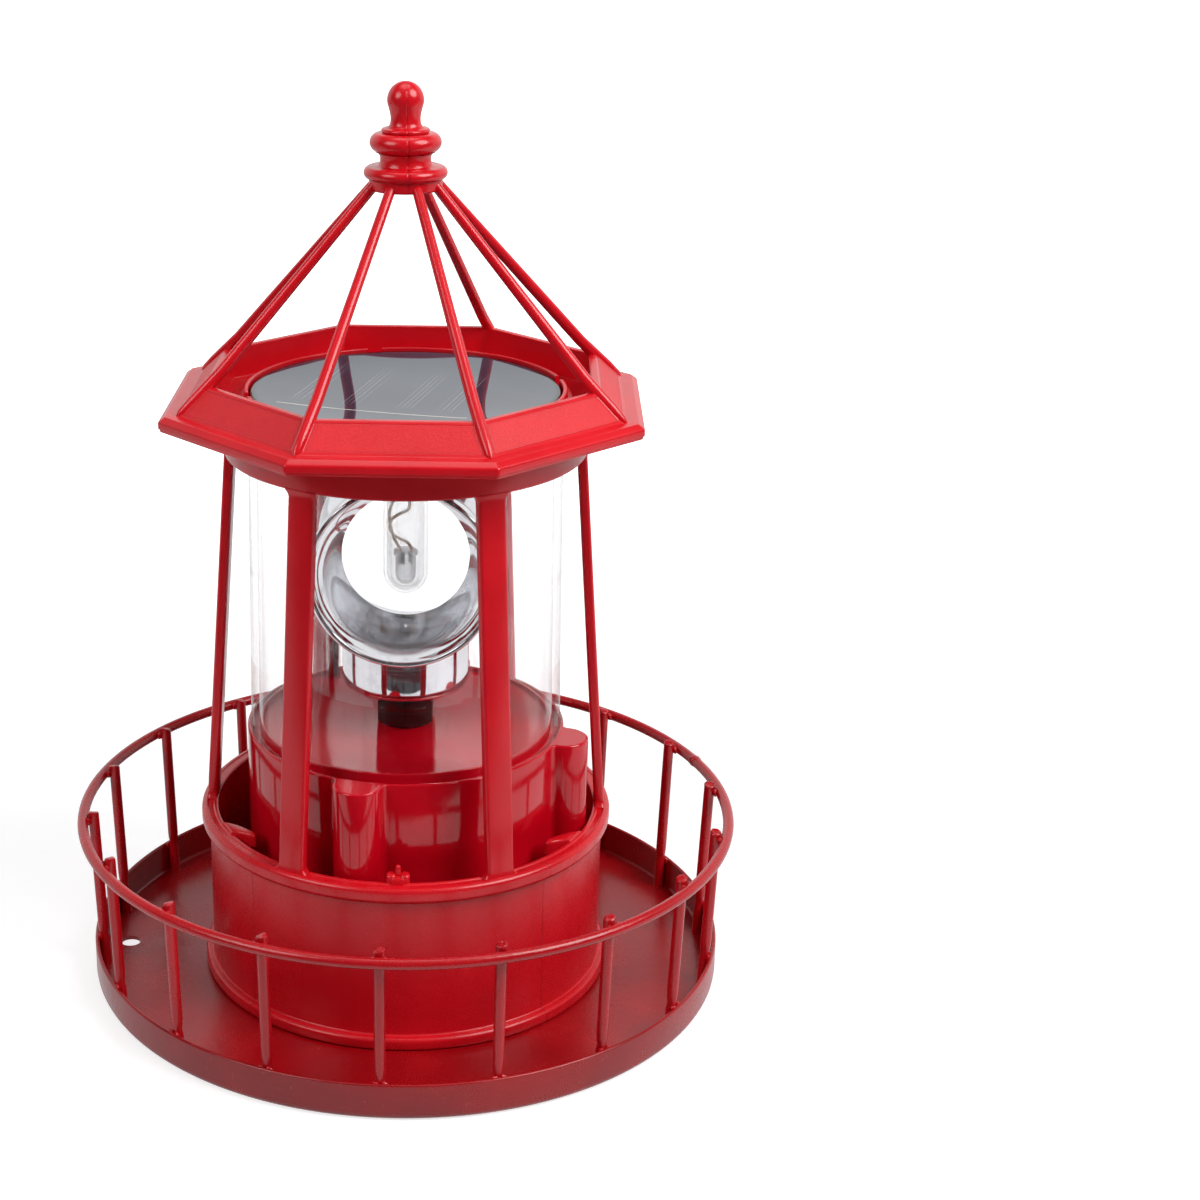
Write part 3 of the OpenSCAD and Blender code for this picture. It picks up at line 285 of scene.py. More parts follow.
def resinPanel(sizes):                          # cells under poured resin
    look, at = newLook("solar_resin")
    turned = at.node("ShaderNodeVectorRotate", {"rotation_type": "Z_AXIS"}, {
        "Vector": at, "Angle": math.radians(sizes["turn"])})
    x, y, _ = axes(turned)
    cloud = noise(at, 16, 3.0)
    cell = clouded(cloud, tone(44, 56, 72), tone(54, 66, 82))
    crystal = cells(at, 5.5, "Color")
    shine = crystal.node("ShaderNodeSeparateColor", {}, {0: crystal})
    cell = mixTone(shine * 0.12, cell, tone(70, 78, 96))
    low, high = sizes["lineEnds"]
    ends = fade(y, low * mm, (low + 5) * mm) * fade(y, (high - 22) * mm, high * mm, 1.0, 0.0)
    middle = (sizes["lines"] - 1) / 2
    for number, group in enumerate(sizes["groups"]):
        for k in range(sizes["lines"]):
            place = group + (k - middle) * sizes["lineStep"] + 0.2 * math.sin(k * 5 + number)
            strength = 0.2 + 0.08 * math.cos(k * 3 + number)
            line = fade(abs(x - place * mm), 0.06 * mm, 0.2 * mm, 1.0, 0.0)
            cell = mixTone(line * ends * strength, cell, tone(206, 208, 214))
    left, right = sizes["ribbonEnds"]
    ribbon = fade(abs(y - sizes["ribbonAt"] * mm), 0.12 * mm, 0.34 * mm, 1.0, 0.0)
    ribbon = ribbon * fade(x, left * mm, (left + 0.4) * mm)
    ribbon = ribbon * fade(x, (right - 0.4) * mm, right * mm, 1.0, 0.0)
    cell = mixTone(ribbon, cell, tone(214, 212, 200))
    fingers = y.maths("FRACT", y / (1.6 * mm))
    cell = mixTone(fade(fingers, 0.0, 0.08, 1.0, 0.0) * 0.05, cell, tone(120, 120, 140))
    flat = at.node("ShaderNodeVectorMath", {"operation": "MULTIPLY"}, {0: at, 1: (1, 1, 0)})
    radius = flat.node("ShaderNodeVectorMath", {"operation": "LENGTH"}, {0: flat}, "Value")
    rim = fade(radius, (sizes["lipR"] - 0.4) * mm, sizes["lipR"] * mm)
    colour = mixTone(rim, cell, tone(7, 8, 11))
    dust = fade(noise(at, 0.9, 2.0), 0.66, 0.8)
    colour = mixTone(dust * 0.1, colour, tone(150, 152, 158))
    rough = 0.03 + dust * 0.1 + fade(noise(at, 9, 3.0), 0.5, 0.8) * 0.03
    sockets = {"Base Color": colour, "Roughness": rough, "IOR": 1.6}
    return finishLook(look, at, sockets, ((noise(at, 24, 1.0), 0.02), (ribbon, 0.01)))


def blackPlastic(name, shade=16, rough=0.42, depth=0.02, shine=0.5):
    look, at = newLook(name)
    grain = noise(at, 0.4, 2.0)
    cloud = noise(at, 10, 3.0)
    scuff = fade(noise(at, 1.5, 1.0, 0.5, (1, 1, 0.3)), 0.68, 0.8)
    dark, pale = tone(shade, shade, shade + 1), tone(shade + 9, shade + 9, shade + 11)
    colour = clouded(cloud, dark, pale, 0.3, 0.7)
    colour = mixTone(scuff * 0.4, colour, tone(72, 72, 76))
    sockets = {"Base Color": colour, "Roughness": rough + cloud * 0.12 + scuff * 0.12,
               "Specular IOR Level": shine}
    return finishLook(look, at, sockets, ((grain, depth), (scuff, 0.01)))


def metal(name, light, dark, rough=0.22, stretch=(1, 1, 1), wear=0.3):
    look, at = newLook(name)
    brush = noise(at, 0.5, 2.0, 0.6, stretch)
    cloud = noise(at, 4, 3.0, 0.6)
    dull = fade(cloud, 0.45, 0.75)
    colour = mixTone(dull * wear, light, dark)
    sockets = {"Base Color": colour, "Metallic": 1.0, "Roughness": rough + brush * 0.14 + dull * 0.15}
    return finishLook(look, at, sockets, ((brush, 0.01),))


def softPlastic(name, first, second, rough=0.45, depth=0.02):
    look, at = newLook(name)
    grain = noise(at, 0.5, 2.0)
    cloud = noise(at, 7, 3.0)
    colour = clouded(cloud, first, second)
    colour = mixTone(fade(noise(at, 1.4, 1.0), 0.68, 0.8) * 0.25, colour, tone(96, 92, 86))
    sockets = {"Base Color": colour, "Roughness": rough + grain * 0.15}
    return finishLook(look, at, sockets, ((grain, depth),))


def twoWires(name, across, middle):             # one red and one black wire, told apart by their side
    look, at = newLook(name)
    side = at.node("ShaderNodeVectorMath", {"operation": "DOT_PRODUCT"}, {0: at, 1: across}, "Value")
    isRed = fade(side, (middle - 0.05) * mm, (middle + 0.05) * mm)
    grain = noise(at, 0.7, 2.0)
    cloud = noise(at, 5, 2.0)
    colour = mixTone(isRed, tone(20, 20, 22), tone(168, 16, 20))
    colour = mixTone(fade(cloud, 0.5, 0.8) * 0.3, colour, tone(110, 90, 88))
    sockets = {"Base Color": colour, "Roughness": 0.38 + grain * 0.2}
    return finishLook(look, at, sockets, ((grain, 0.015),))


def boardGreen():
    look, at = newLook("board_green")
    x, y, _ = axes(at)
    trackX = x.maths("FRACT", x / (2.6 * mm))
    trackY = y.maths("FRACT", y / (3.4 * mm))
    track = fade(trackX, 0.0, 0.12, 1.0, 0.0) + fade(trackY, 0.0, 0.1, 1.0, 0.0)
    pick = fade(noise(at, 3.4, 0.0), 0.48, 0.5)
    mask = fade(noise(at, 6, 2.0), 0.3, 0.75)
    colour = mixTone(mask, tone(16, 70, 34), tone(24, 92, 46))
    colour = mixTone(track * pick * 0.6, colour, tone(70, 138, 84))
    pads = spots(at, 2.9, 0.1, 0.14, 5, 0.52, 0.56)
    colour = mixTone(pads, colour, tone(196, 190, 176))
    sockets = {"Base Color": colour, "Roughness": 0.32 + mask * 0.1}
    return finishLook(look, at, sockets, ((track * pick, 0.03), (pads, 0.02)))


def cellSleeve():                               # printed film on the battery cell, bare of words
    look, at = newLook("cell_sleeve")
    x = axes(at)[0]
    band = fade(x, 14 * mm, 14.3 * mm)
    creases = fade(noise(at, 2.4, 2.0, 0.5, (0.2, 1, 1)), 0.6, 0.75)
    colour = mixTone(band, tone(44, 128, 66), tone(196, 198, 200))
    colour = mixTone(creases * 0.35, colour, tone(120, 176, 132))
    ends = fade(abs(x), 24.1 * mm, 24.3 * mm)
    colour = mixTone(ends, colour, tone(178, 178, 182))
    sockets = {"Base Color": colour, "Roughness": 0.24 + creases * 0.2}
    return finishLook(look, at, sockets, ((creases, 0.03),))


print("finishes ready")


# Mesh helpers: sizes are millimetres, angles are degrees from the front, positive to the right
def polar(radius, angle, z=0.0):
    turn = math.radians(angle)
    return Vector((radius * math.sin(turn), -radius * math.cos(turn), z))


def rounded(points, steps=5):                   # (x, y) stays a corner, (x, y, r) becomes an arc
    path = []
    for i, point in enumerate(points):
        here = Vector(point[:2])
        if len(point) == 2:
            path.append(here)
            continue
        back = (Vector(points[i - 1][:2]) - here).normalized()
        ahead = (Vector(points[(i + 1) % len(points)][:2]) - here).normalized()
        half = back.angle(ahead) / 2
        centre = here + (back + ahead).normalized() * point[2] / math.sin(half)
        reach = point[2] / math.tan(half)
        start = here + back * reach - centre
        end = here + ahead * reach - centre
        sweepAngle = math.pi - 2 * half
        for k in range(steps + 1):
            share = k / steps
            first = math.sin((1 - share) * sweepAngle) / math.sin(sweepAngle)
            second = math.sin(share * sweepAngle) / math.sin(sweepAngle)
            path.append(centre + start * first + end * second)
    return path


def arcPoints(centre, radius, start, end, steps):
    turns = [math.radians(start + (end - start) * k / steps) for k in range(steps + 1)]
    return [Vector((centre[0] + radius * math.cos(a), centre[1] + radius * math.sin(a))) for a in turns]


def fullTurn(sides):
    return [2 * math.pi * k / sides for k in range(sides)]


def loft(bm, rings, closed=False):              # a ring of one point is a pole
    made = [[bm.verts.new(Vector(p) * mm) for p in ring] for ring in rings]
    pairs = list(zip(made, made[1:]))
    if closed:
        pairs.append((made[-1], made[0]))
    for first, second in pairs:
        count = max(len(first), len(second))
        for k in range(count):
            a, b = first[k % len(first)], first[(k + 1) % len(first)]
            c, d = second[(k + 1) % len(second)], second[k % len(second)]
            corners = [v for i, v in enumerate((a, b, c, d)) if v not in (a, b, c, d)[:i]]
            if len(corners) > 2:
                bm.faces.new(corners)


def lathe(bm, path, sides=96, closed=False):    # path of (radius, z)
    rings = []
    for radius, z in path:
        if radius < 1e-6:
            rings.append([(0, 0, z)])
        else:
            rings.append([polar(radius, 360 * k / sides, z) for k in range(sides)])
    loft(bm, rings, closed)


def smoothPath(points, steps=6):                # Catmull-Rom through points of any length
    rows = [Vector(p) for p in points]
    rows = [rows[0] * 2 - rows[1]] + rows + [rows[-1] * 2 - rows[-2]]
    path = []
    for a, b, c, d in zip(rows, rows[1:], rows[2:], rows[3:]):
        for k in range(steps):
            t = k / steps
            path.append(0.5 * (2 * b + (c - a) * t + (2 * a - 5 * b + 4 * c - d) * t * t
                               + (3 * b - a - 3 * c + d) * t ** 3))
    path.append(rows[-2])
    return path


def bar(bm, points, radii, sides, side):        # round bar with closed ends
    points = [Vector(p) for p in points]
    rings = [[points[0]]]
    for i, point in enumerate(points):
        along = (points[min(i + 1, len(points) - 1)] - points[max(i - 1, 0)]).normalized()
        u = along.cross(Vector(side)).normalized()
        v = along.cross(u)
        radius = radii[i] if isinstance(radii, (list, tuple)) else radii
        rings.append([point + radius * (math.cos(a) * u + math.sin(a) * v) for a in fullTurn(sides)])
    rings.append([points[-1]])
    loft(bm, rings)


def prism(bm, outline, low, high, bevel=0.0):   # upright slab with a bevelled top
    lower = [bm.verts.new(Vector((x, y, low)) * mm) for x, y in outline]
    upper = [bm.verts.new(Vector((x, y, high)) * mm) for x, y in outline]
    for k in range(len(outline)):
        n = (k + 1) % len(outline)
        bm.faces.new((lower[k], lower[n], upper[n], upper[k]))
    bm.faces.new(lower[::-1])
    top = bm.faces.new(upper)
    if bevel:
        edges = list(top.edges)
        bmesh.ops.bevel(bm, geom=edges, offset=bevel * mm, segments=3, profile=0.5, affect="EDGES")


def settle(bm, name, angle=32):                 # merge, point outwards, smooth, sharp past an angle
    bmesh.ops.remove_doubles(bm, verts=bm.verts, dist=1e-6)
    bmesh.ops.recalc_face_normals(bm, faces=bm.faces)
    mesh = bpy.data.meshes.new(name)
    bm.to_mesh(mesh)
    bm.free()
    mesh.shade_smooth()
    mesh.set_sharp_from_angle(angle=math.radians(angle))
    piece = bpy.data.objects.new(name, mesh)
    bpy.context.scene.collection.objects.link(piece)
    return piece


def turnedPiece(name, path, sides, closed=False, angle=32):
    bm = bmesh.new()
    lathe(bm, path, sides, closed)
    return settle(bm, name, angle)


def plain(piece, angle=None):                   # what the modifiers make becomes the mesh itself
    graph = bpy.context.evaluated_depsgraph_get()
    mesh = bpy.data.meshes.new_from_object(piece.evaluated_get(graph), depsgraph=graph)
    piece.modifiers.clear()
    old = piece.data
    mesh.name = piece.name
    piece.data = mesh
    bpy.data.meshes.remove(old)
    if angle:
        mesh.shade_smooth()
        mesh.set_sharp_from_angle(angle=math.radians(angle))
    return piece


def drill(piece, holes, low, high, sides=40):   # upright holes: (distance from the axis, angle, radius)
    bm = bmesh.new()
    for at, angle, radius in holes:
        middle = polar(at, angle)
        circle = [(middle.x + radius * math.cos(a), middle.y + radius * math.sin(a))
                  for a in fullTurn(sides)]
        rings = [[(x, y, z) for x, y in circle] for z in (low, high)]
        loft(bm, [[(middle.x, middle.y, low)]] + rings + [[(middle.x, middle.y, high)]])
    carve(piece, settle(bm, "drill"))


def carve(piece, cutter):
    modifier = piece.modifiers.new("holes", "BOOLEAN")
    modifier.operation = "DIFFERENCE"
    modifier.solver = "EXACT"
    modifier.object = cutter
    plain(piece, 32)
    bpy.data.objects.remove(cutter)


def ready(piece, look, slot, *nodes, body="lantern"):
    piece.data.materials.clear()
    piece.data.materials.append(look)
    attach(piece, body)
    if nodes:
        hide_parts(*nodes)
    return piece


# Geometry nodes: copies of a piece round the upright axis, each a little different
def copiesTree(name):
    tree = bpy.data.node_groups.new(name, "GeometryNodeTree")
    face = tree.interface
    face.new_socket(name="Piece", in_out="INPUT", socket_type="NodeSocketGeometry")
    face.new_socket(name="Count", in_out="INPUT", socket_type="NodeSocketInt")
    for label in ("First Angle", "Turn Spread", "Lift Spread", "Rough Above", "Rough Depth",
                  "Rough Size"):
        face.new_socket(name=label, in_out="INPUT", socket_type="NodeSocketFloat")
    face.new_socket(name="Seed", in_out="INPUT", socket_type="NodeSocketInt")
    face.new_socket(name="Finish", in_out="INPUT", socket_type="NodeSocketMaterial")
    face.new_socket(name="Copies", in_out="OUTPUT", socket_type="NodeSocketGeometry")
    given = Wire(tree).node("NodeGroupInput")
    count, seed = given.other("Count"), given.other("Seed")
    index = given.node("GeometryNodeInputIndex")

    def random(spread, offset):
        sockets = {2: spread * -1, 3: spread, "ID": index, "Seed": seed + offset}
        return given.node("FunctionNodeRandomValue", {"data_type": "FLOAT"}, sockets, 1)

    turn = given.other("First Angle") + index * 360 / count + random(given.other("Turn Spread"), 1)
    euler = given.node("ShaderNodeCombineXYZ", {}, {"Z": turn * (math.pi / 180)})
    rotation = given.node("FunctionNodeEulerToRotation", {}, {0: euler})
    lift = given.node("ShaderNodeCombineXYZ", {}, {"Z": random(given.other("Lift Spread"), 2)})
    points = given.node("GeometryNodePoints", {}, {"Count": count, "Position": lift})
    copies = given.node("GeometryNodeInstanceOnPoints", {}, {
        "Points": points, "Instance": given, "Rotation": rotation})
    whole = given.node("GeometryNodeRealizeInstances", {}, {0: copies})
    place = given.node("GeometryNodeInputPosition")
    height = given.node("ShaderNodeSeparateXYZ", {}, {0: place}).other("Z")
    start = given.other("Rough Above")
    mask = given.node("ShaderNodeMapRange", {"clamp": True}, {
        "Value": height, "From Min": start, "From Max": start + 0.0006})
    bumps = given.node("ShaderNodeTexNoise", {"noise_dimensions": "4D"}, {
        "Vector": place, "W": seed * 1.7, "Scale": given.other("Rough Size"), "Detail": 2.0}, "Color")
    middle = (0.5, 0.5, 0.5)
    shift = given.node("ShaderNodeVectorMath", {"operation": "SUBTRACT"}, {0: bumps, 1: middle})
    shift = given.node("ShaderNodeVectorMath", {"operation": "SCALE"}, {
        0: shift, "Scale": mask * given.other("Rough Depth")})
    rough = given.node("GeometryNodeSetPosition", {}, {"Geometry": whole, "Offset": shift})
    finish = given.other("Finish")
    done = given.node("GeometryNodeSetMaterial", {}, {"Geometry": rough, "Material": finish})
    given.node("NodeGroupOutput", {}, {0: done})
    return tree


copies = copiesTree("copiesRoundTheAxis")


def repeat(piece, look, values):
    modifier = piece.modifiers.new("copies", "NODES")
    modifier.node_group = copies
    ids = {s.name: s.identifier for s in copies.interface.items_tree if s.in_out == "INPUT"}
    for name, value in values.items():
        modifier[ids[name]] = value
    modifier[ids["Finish"]] = look
    return plain(piece)


powder = powderRed("powder_red_tray", tone(144, 5, 14), tone(164, 12, 20))
powderRail = powderRed("powder_red_rail", tone(172, 8, 20), tone(190, 16, 27))
redDrum = mouldedRed("moulded_red_drum", (-45, 45, -135, 135), 49.4)
redPosts = mouldedRed("moulded_red_posts", (), 50, 0.17)
redRoof = roofRed()
redTop = mouldedRed("moulded_red_finial", (8, -172), 5, 0.16, 0.006)
redBase = glossRed()
plating = chrome()
# the last number is the painted edge tone: pale painted reflection on the cylinder, dark painted shade
# on the tube and the lens
clearWall = clearPlastic("clear_cylinder", tone(240, 242, 245), 0.07, 0.5, 190)
clearTube = clearPlastic("clear_tube", tone(244, 245, 248), 0.22, 0.3, 60)
clearEpoxy = clearPlastic("clear_epoxy", tone(244, 244, 247), 0.5, 0.2, 70)


# Gallery tray: a pressed pan with a folded rim
tray = {
    "rimR": 79.5, "rimTop": 9.4, "sheet": 1.0, "bend": 2.0, "sides": 256,
    "platformR": 45.0, "platformTop": 2.8, "accessR": 37.4, "recessR": 44.6,
    "holeAt": 71.7, "holeAngle": -89, "holeR": 2.6,
    "screwAt": 42.2, "screwAngles": (30, 120, 210, 300), "screwR": 1.45,
}


def makeTray():
    s = tray
    inner = s["rimR"] - s["sheet"]
    rise = s["platformTop"] - s["sheet"]
    piece = turnedPiece("galleryTray", rounded([
        (s["accessR"], s["platformTop"], 0.3), (s["platformR"], s["platformTop"], 0.9),
        (s["platformR"] + rise, s["sheet"], 0.6), (inner, s["sheet"], s["bend"] - s["sheet"]),
        (inner, s["rimTop"], 0.46), (s["rimR"], s["rimTop"], 0.46), (s["rimR"], 0, s["bend"]),
        (s["recessR"] + rise, 0, 0.3), (s["recessR"], rise, 0.9), (s["accessR"], rise, 0.3),
    ]), s["sides"], True)
    holes = [(s["holeAt"], s["holeAngle"], s["holeR"])]
    holes += [(s["screwAt"], angle, s["screwR"]) for angle in s["screwAngles"]]
    drill(piece, holes, -1, 5)
    ready(piece, powder, "red_coating", "gallery_tray")


makeTray()

# Railing: one wire ring with its butt weld, and the upright wires welded to it and to the tray
rail = {
    "ringR": 81.12, "height": 41.4, "wireR": 1.35, "step": 1.5, "sides": 20,
    "weldAngle": 112.4, "weldSwell": 0.16, "weldReach": 1.4, "weldStep": 0.21, "weldRows": 18,
}
uprights = {
    "count": 18, "firstAngle": -1.0, "turnSpread": 0.25, "liftSpread": 0.0001, "sides": 18,
    "footR": 77.0, "lean": 1.99, "cutAbove": 42.9, "cutTilt": 0.3, "cutDrop": 0.15,
    "wire": (                                   # height and radius, thinner at the welds
        (1.0, 1.512), (1.5, 1.35), (5, 1.35), (8, 1.35), (8.9, 1.215), (9.8, 1.05), (10.9, 1.242),
        (12.5, 1.35), (22, 1.35), (32, 1.35), (40, 1.35), (42, 1.35), (42.8, 1.35), (43.2, 1.35),
        (43.4, 1.323), (43.6, 1.1475), (43.7, 0.675)),
    "beads": (                                  # radius, angle, height, size and seed; both sides
        (79.75, 0.85, 41.4, (0.85, 0.75, 1.0), 2), (78.35, 0.8, 8.8, (0.95, 0.55, 0.9), 5)),
    "roughAbove": 0.0428, "roughDepth": 0.0008, "roughSize": 900.0,    # the torn top, in metres
}


def makeRing():
    s = rail
    angles = [k * s["step"] for k in range(int(360 / s["step"]))]
    rows = range(-s["weldRows"], s["weldRows"] + 1)
    angles += [s["weldAngle"] + 0.01 + k * s["weldStep"] for k in rows]
    bm = bmesh.new()
    rings = []
    for angle in sorted(angles):
        off = math.radians(angle - s["weldAngle"]) * s["ringR"]
        swell = s["weldSwell"] * math.exp(-(off / s["weldReach"]) ** 2) * (1 + 0.5 * math.sin(off * 5))
        ring = []
        for turn in fullTurn(s["sides"]):
            r = s["wireR"] + swell * (1 + 0.3 * math.sin(turn * 3 + off))
            out, up = r * math.cos(turn), r * math.sin(turn)
            ring.append(polar(s["ringR"] + out, angle, s["height"] + up))
        rings.append(ring)
    loft(bm, rings, True)
    ready(settle(bm, "railingRing"), powderRail, "red_coating", "railing_ring")


def weldBead(bm, centre, sizes, seed):
    made = bmesh.ops.create_icosphere(bm, subdivisions=2, radius=1)["verts"]
    for vert in made:
        p = vert.co
        lump = 1 + 0.16 * math.sin(p.x * 4 + seed) * math.cos(p.z * 5 + seed * 2)
        shift = Vector((p.x * sizes[0], p.y * sizes[1], p.z * sizes[2])) * lump
        vert.co = (Vector(centre) + shift) * mm


def makeUprights():
    s = uprights
    slope = math.tan(math.radians(s["lean"]))
    foot = s["wire"][0][0]
    points = [polar(s["footR"] + (z - foot) * slope, 0, z) for z, _ in s["wire"]]
    bm = bmesh.new()
    bar(bm, points, [radius for _, radius in s["wire"]], s["sides"], (1, 0, 0))
    for vert in bm.verts:
        if vert.co.z > s["cutAbove"] * mm:
            vert.co.z += vert.co.x * s["cutTilt"] - s["cutDrop"] * mm
    for side in (-1, 1):
        for radius, angle, z, size, seed in s["beads"]:
            weldBead(bm, polar(radius, side * angle, z), size, side + seed)
    piece = settle(bm, "railingUprights")
    repeat(piece, powderRail, {
        "Count": s["count"], "First Angle": s["firstAngle"], "Turn Spread": s["turnSpread"],
        "Lift Spread": s["liftSpread"], "Rough Above": s["roughAbove"], "Rough Depth": s["roughDepth"],
        "Rough Size": s["roughSize"], "Seed": 7})
    ready(piece, powderRail, "red_coating", "balusters")


makeRing()
makeUprights()
print("tray and railing ready")

# Drum: two outside beads, screw lugs, two leaf hooks and a nub inside the upper one
drum = {
    "innerR": 47.2, "outerR": 49.4, "beadR": 51.4, "foot": 1.0, "top": 44.0, "sides": 256,
    "footBeadTop": 4.2, "topBeadFoot": 40.0, "grooveIn": 48.5, "grooveOut": 50.0, "grooveDepth": 0.25,
    "hookLow": 41.4, "hookHigh": 44.7,
    "hook": ((0.8, -67.5), (-1.1, -65.2), (-2.6, -62), (-3.7, -58.4), (-4.3, -55.6), (-3.6, -54.1),
             (-2.4, -55.3), (-1.4, -57.3), (-0.3, -58.6), (0.8, -59.4)),
    "nubAngle": 1, "nubR": (45.0, 48.6), "nubWidth": 3.6, "nubHeights": (41.6, 45.5),
    "lobeAt": 1.6, "lobeR": 1.2, "lobeHeights": (43.5, 46.1),
    "pipAt": 46.4, "pipR": 0.72, "pipTop": 48.0,
    "lugR": 2.5, "lugFoot": 2.8, "lugTop": 12.8, "lugWeb": 3.0,      # over the tray's screws
}


def pillow(bm, outline, low, high, roundness):  # upright block whose top closes in a soft dome
    middle = sum(outline, Vector((0, 0))) / len(outline)
    rings = [[Vector((middle.x, middle.y, low))], [Vector((p.x, p.y, low)) for p in outline]]
    for k in range(6):
        turn = math.pi / 2 * k / 5
        scale = 1 - roundness * (1 - math.cos(turn))
        z = high - (high - low) * 0.3 * (1 - math.sin(turn))
        moved = [middle + (p - middle) * scale for p in outline]
        rings.append([(p.x, p.y, z) for p in moved])
    rings.append([Vector((middle.x, middle.y, high))])
    loft(bm, rings)


def roundedSlab(width, depth, corner, steps=4):
    w, d = width / 2, depth / 2
    return rounded([(-w, -d, corner), (w, -d, corner), (w, d, corner), (-w, d, corner)], steps)


def disc(radius, steps=4):
    return roundedSlab(radius * 2, radius * 2, radius * 0.98, steps)


def turnedOutline(outline, radius, angle):      # an outline drawn at the axis, moved out to its place
    out = polar(1, angle)
    side = Vector((-out.y, out.x, 0))
    return [Vector((side.x * p.x + out.x * (p.y + radius), side.y * p.x + out.y * (p.y + radius)))
            for p in outline]


def makeDrum():
    s = drum
    bm = bmesh.new()
    lathe(bm, rounded([
        (s["innerR"], s["foot"], 0.3), (s["beadR"], s["foot"], 0.9),
        (s["beadR"], s["footBeadTop"], 1.1), (s["outerR"], s["footBeadTop"], 0.6),
        (s["outerR"], s["topBeadFoot"], 0.7),
        (s["beadR"], s["topBeadFoot"], 1.2), (s["beadR"], s["top"], 1.2),
        (s["grooveOut"], s["top"], 0.12), (s["grooveOut"] - 0.3, s["top"] - s["grooveDepth"], 0.15),
        (s["grooveIn"], s["top"] - s["grooveDepth"], 0.15), (s["grooveIn"] - 0.3, s["top"], 0.12),
        (s["innerR"], s["top"], 0.5),
    ]), s["sides"], True)
    leaf = [polar(s["innerR"] + inset, angle) for inset, angle in s["hook"]]
    for side in (1, -1):
        hook = [Vector((p.x * side, p.y)) for p in smoothPath(leaf, 4)]
        pillow(bm, hook, s["hookLow"], s["hookHigh"], 0.28)
    low, high = s["nubR"]
    middle = (low + high) / 2
    block = roundedSlab(s["nubWidth"], high - low, 0.7)
    pillow(bm, turnedOutline(block, middle, s["nubAngle"]), *s["nubHeights"], 0.22)
    for side in (-1, 1):                        # the nub's two lobes
        lobe = roundedSlab(s["lobeR"] * 2, high - low - 0.6, s["lobeR"] * 0.9)
        lobe = [Vector((p.x + side * s["lobeAt"], p.y)) for p in lobe]
        pillow(bm, turnedOutline(lobe, middle, s["nubAngle"]), *s["lobeHeights"], 0.5)
    pip = turnedOutline(disc(s["pipR"]), s["pipAt"], s["nubAngle"])
    pillow(bm, pip, s["nubHeights"][1] - 2, s["pipTop"], 0.6)
    lugAt = tray["screwAt"]
    reach = s["innerR"] + 0.8 - lugAt
    for angle in tray["screwAngles"]:
        pillow(bm, turnedOutline(disc(s["lugR"], 8), lugAt, angle), s["lugFoot"], s["lugTop"], 0.16)
        web = turnedOutline(roundedSlab(s["lugWeb"], reach, 0.4), lugAt + reach / 2, angle)
        pillow(bm, web, s["lugFoot"], s["lugTop"], 0.06)
    ready(settle(bm, "drum"), redDrum, "red_plastic", "drum")


# Posts between drum and collar, with soft fillets at both ends
collar = {
    "innerR": 41.2, "outerR": 43.4, "low": 135.9, "high": 145.1,
    "webR": 38.0, "webLow": 140.5, "webHigh": 142.1, "sides": 224,
}
posts = {
    "count": 6, "firstAngle": 30, "width": 7.0, "depth": 2.5, "corner": 0.75, "steps": 14,
    "foot": drum["top"], "footR": 50.0, "top": collar["low"], "topR": 43.35,
    "fillet": 1.6, "flare": 0.9, "sunkFoot": 0.45, "sunkTop": 0.4,
}


def makePosts():
    s = posts
    span = s["top"] - s["foot"]
    lifts = [s["fillet"] * k / 6 for k in range(7)]
    heights = [s["foot"] - s["sunkFoot"]] + [s["foot"] + z for z in lifts]
    heights += [s["foot"] + span * k / s["steps"] for k in range(1, s["steps"])]
    heights += [s["top"] - z for z in reversed(lifts)] + [s["top"] + s["sunkTop"]]
    bm = bmesh.new()
    rings = []
    for z in heights:
        share = (min(max(z, s["foot"]), s["top"]) - s["foot"]) / span
        outer = s["footR"] + (s["topR"] - s["footR"]) * share
        near = min(max(z - s["foot"], 0), max(s["top"] - z, 0)) / s["fillet"]
        flare = s["flare"] * (1 - min(near, 1)) ** 2
        outline = roundedSlab(s["width"] + 2 * flare, s["depth"] + 0.3 * flare, s["corner"])
        rings.append([Vector((p.x, p.y - outer + s["depth"] / 2, z)) for p in outline])
    for end, ring in ((0, rings[0]), (len(rings) + 1, rings[-1])):
        rings.insert(end, [sum(ring, Vector()) / len(ring)])
    loft(bm, rings)
    piece = settle(bm, "cagePosts", 40)
    repeat(piece, redPosts, {"Count": s["count"], "First Angle": s["firstAngle"], "Seed": 1})
    ready(piece, redPosts, "red_plastic", "cage_posts")


def makeCollar():
    s = collar
    piece = turnedPiece("collar", rounded([
        (s["innerR"], s["low"], 0.35), (s["outerR"], s["low"], 0.5), (s["outerR"], s["high"], 0.15),
        (s["innerR"], s["high"], 0.15), (s["innerR"], s["webHigh"], 0.3),
        (s["webR"], s["webHigh"], 0.3), (s["webR"], s["webLow"], 0.3), (s["innerR"], s["webLow"], 0.3),
    ]), s["sides"], True)
    ready(piece, redPosts, "red_plastic", "collar")


makeDrum()
makePosts()
makeCollar()
print("drum and cage ready")

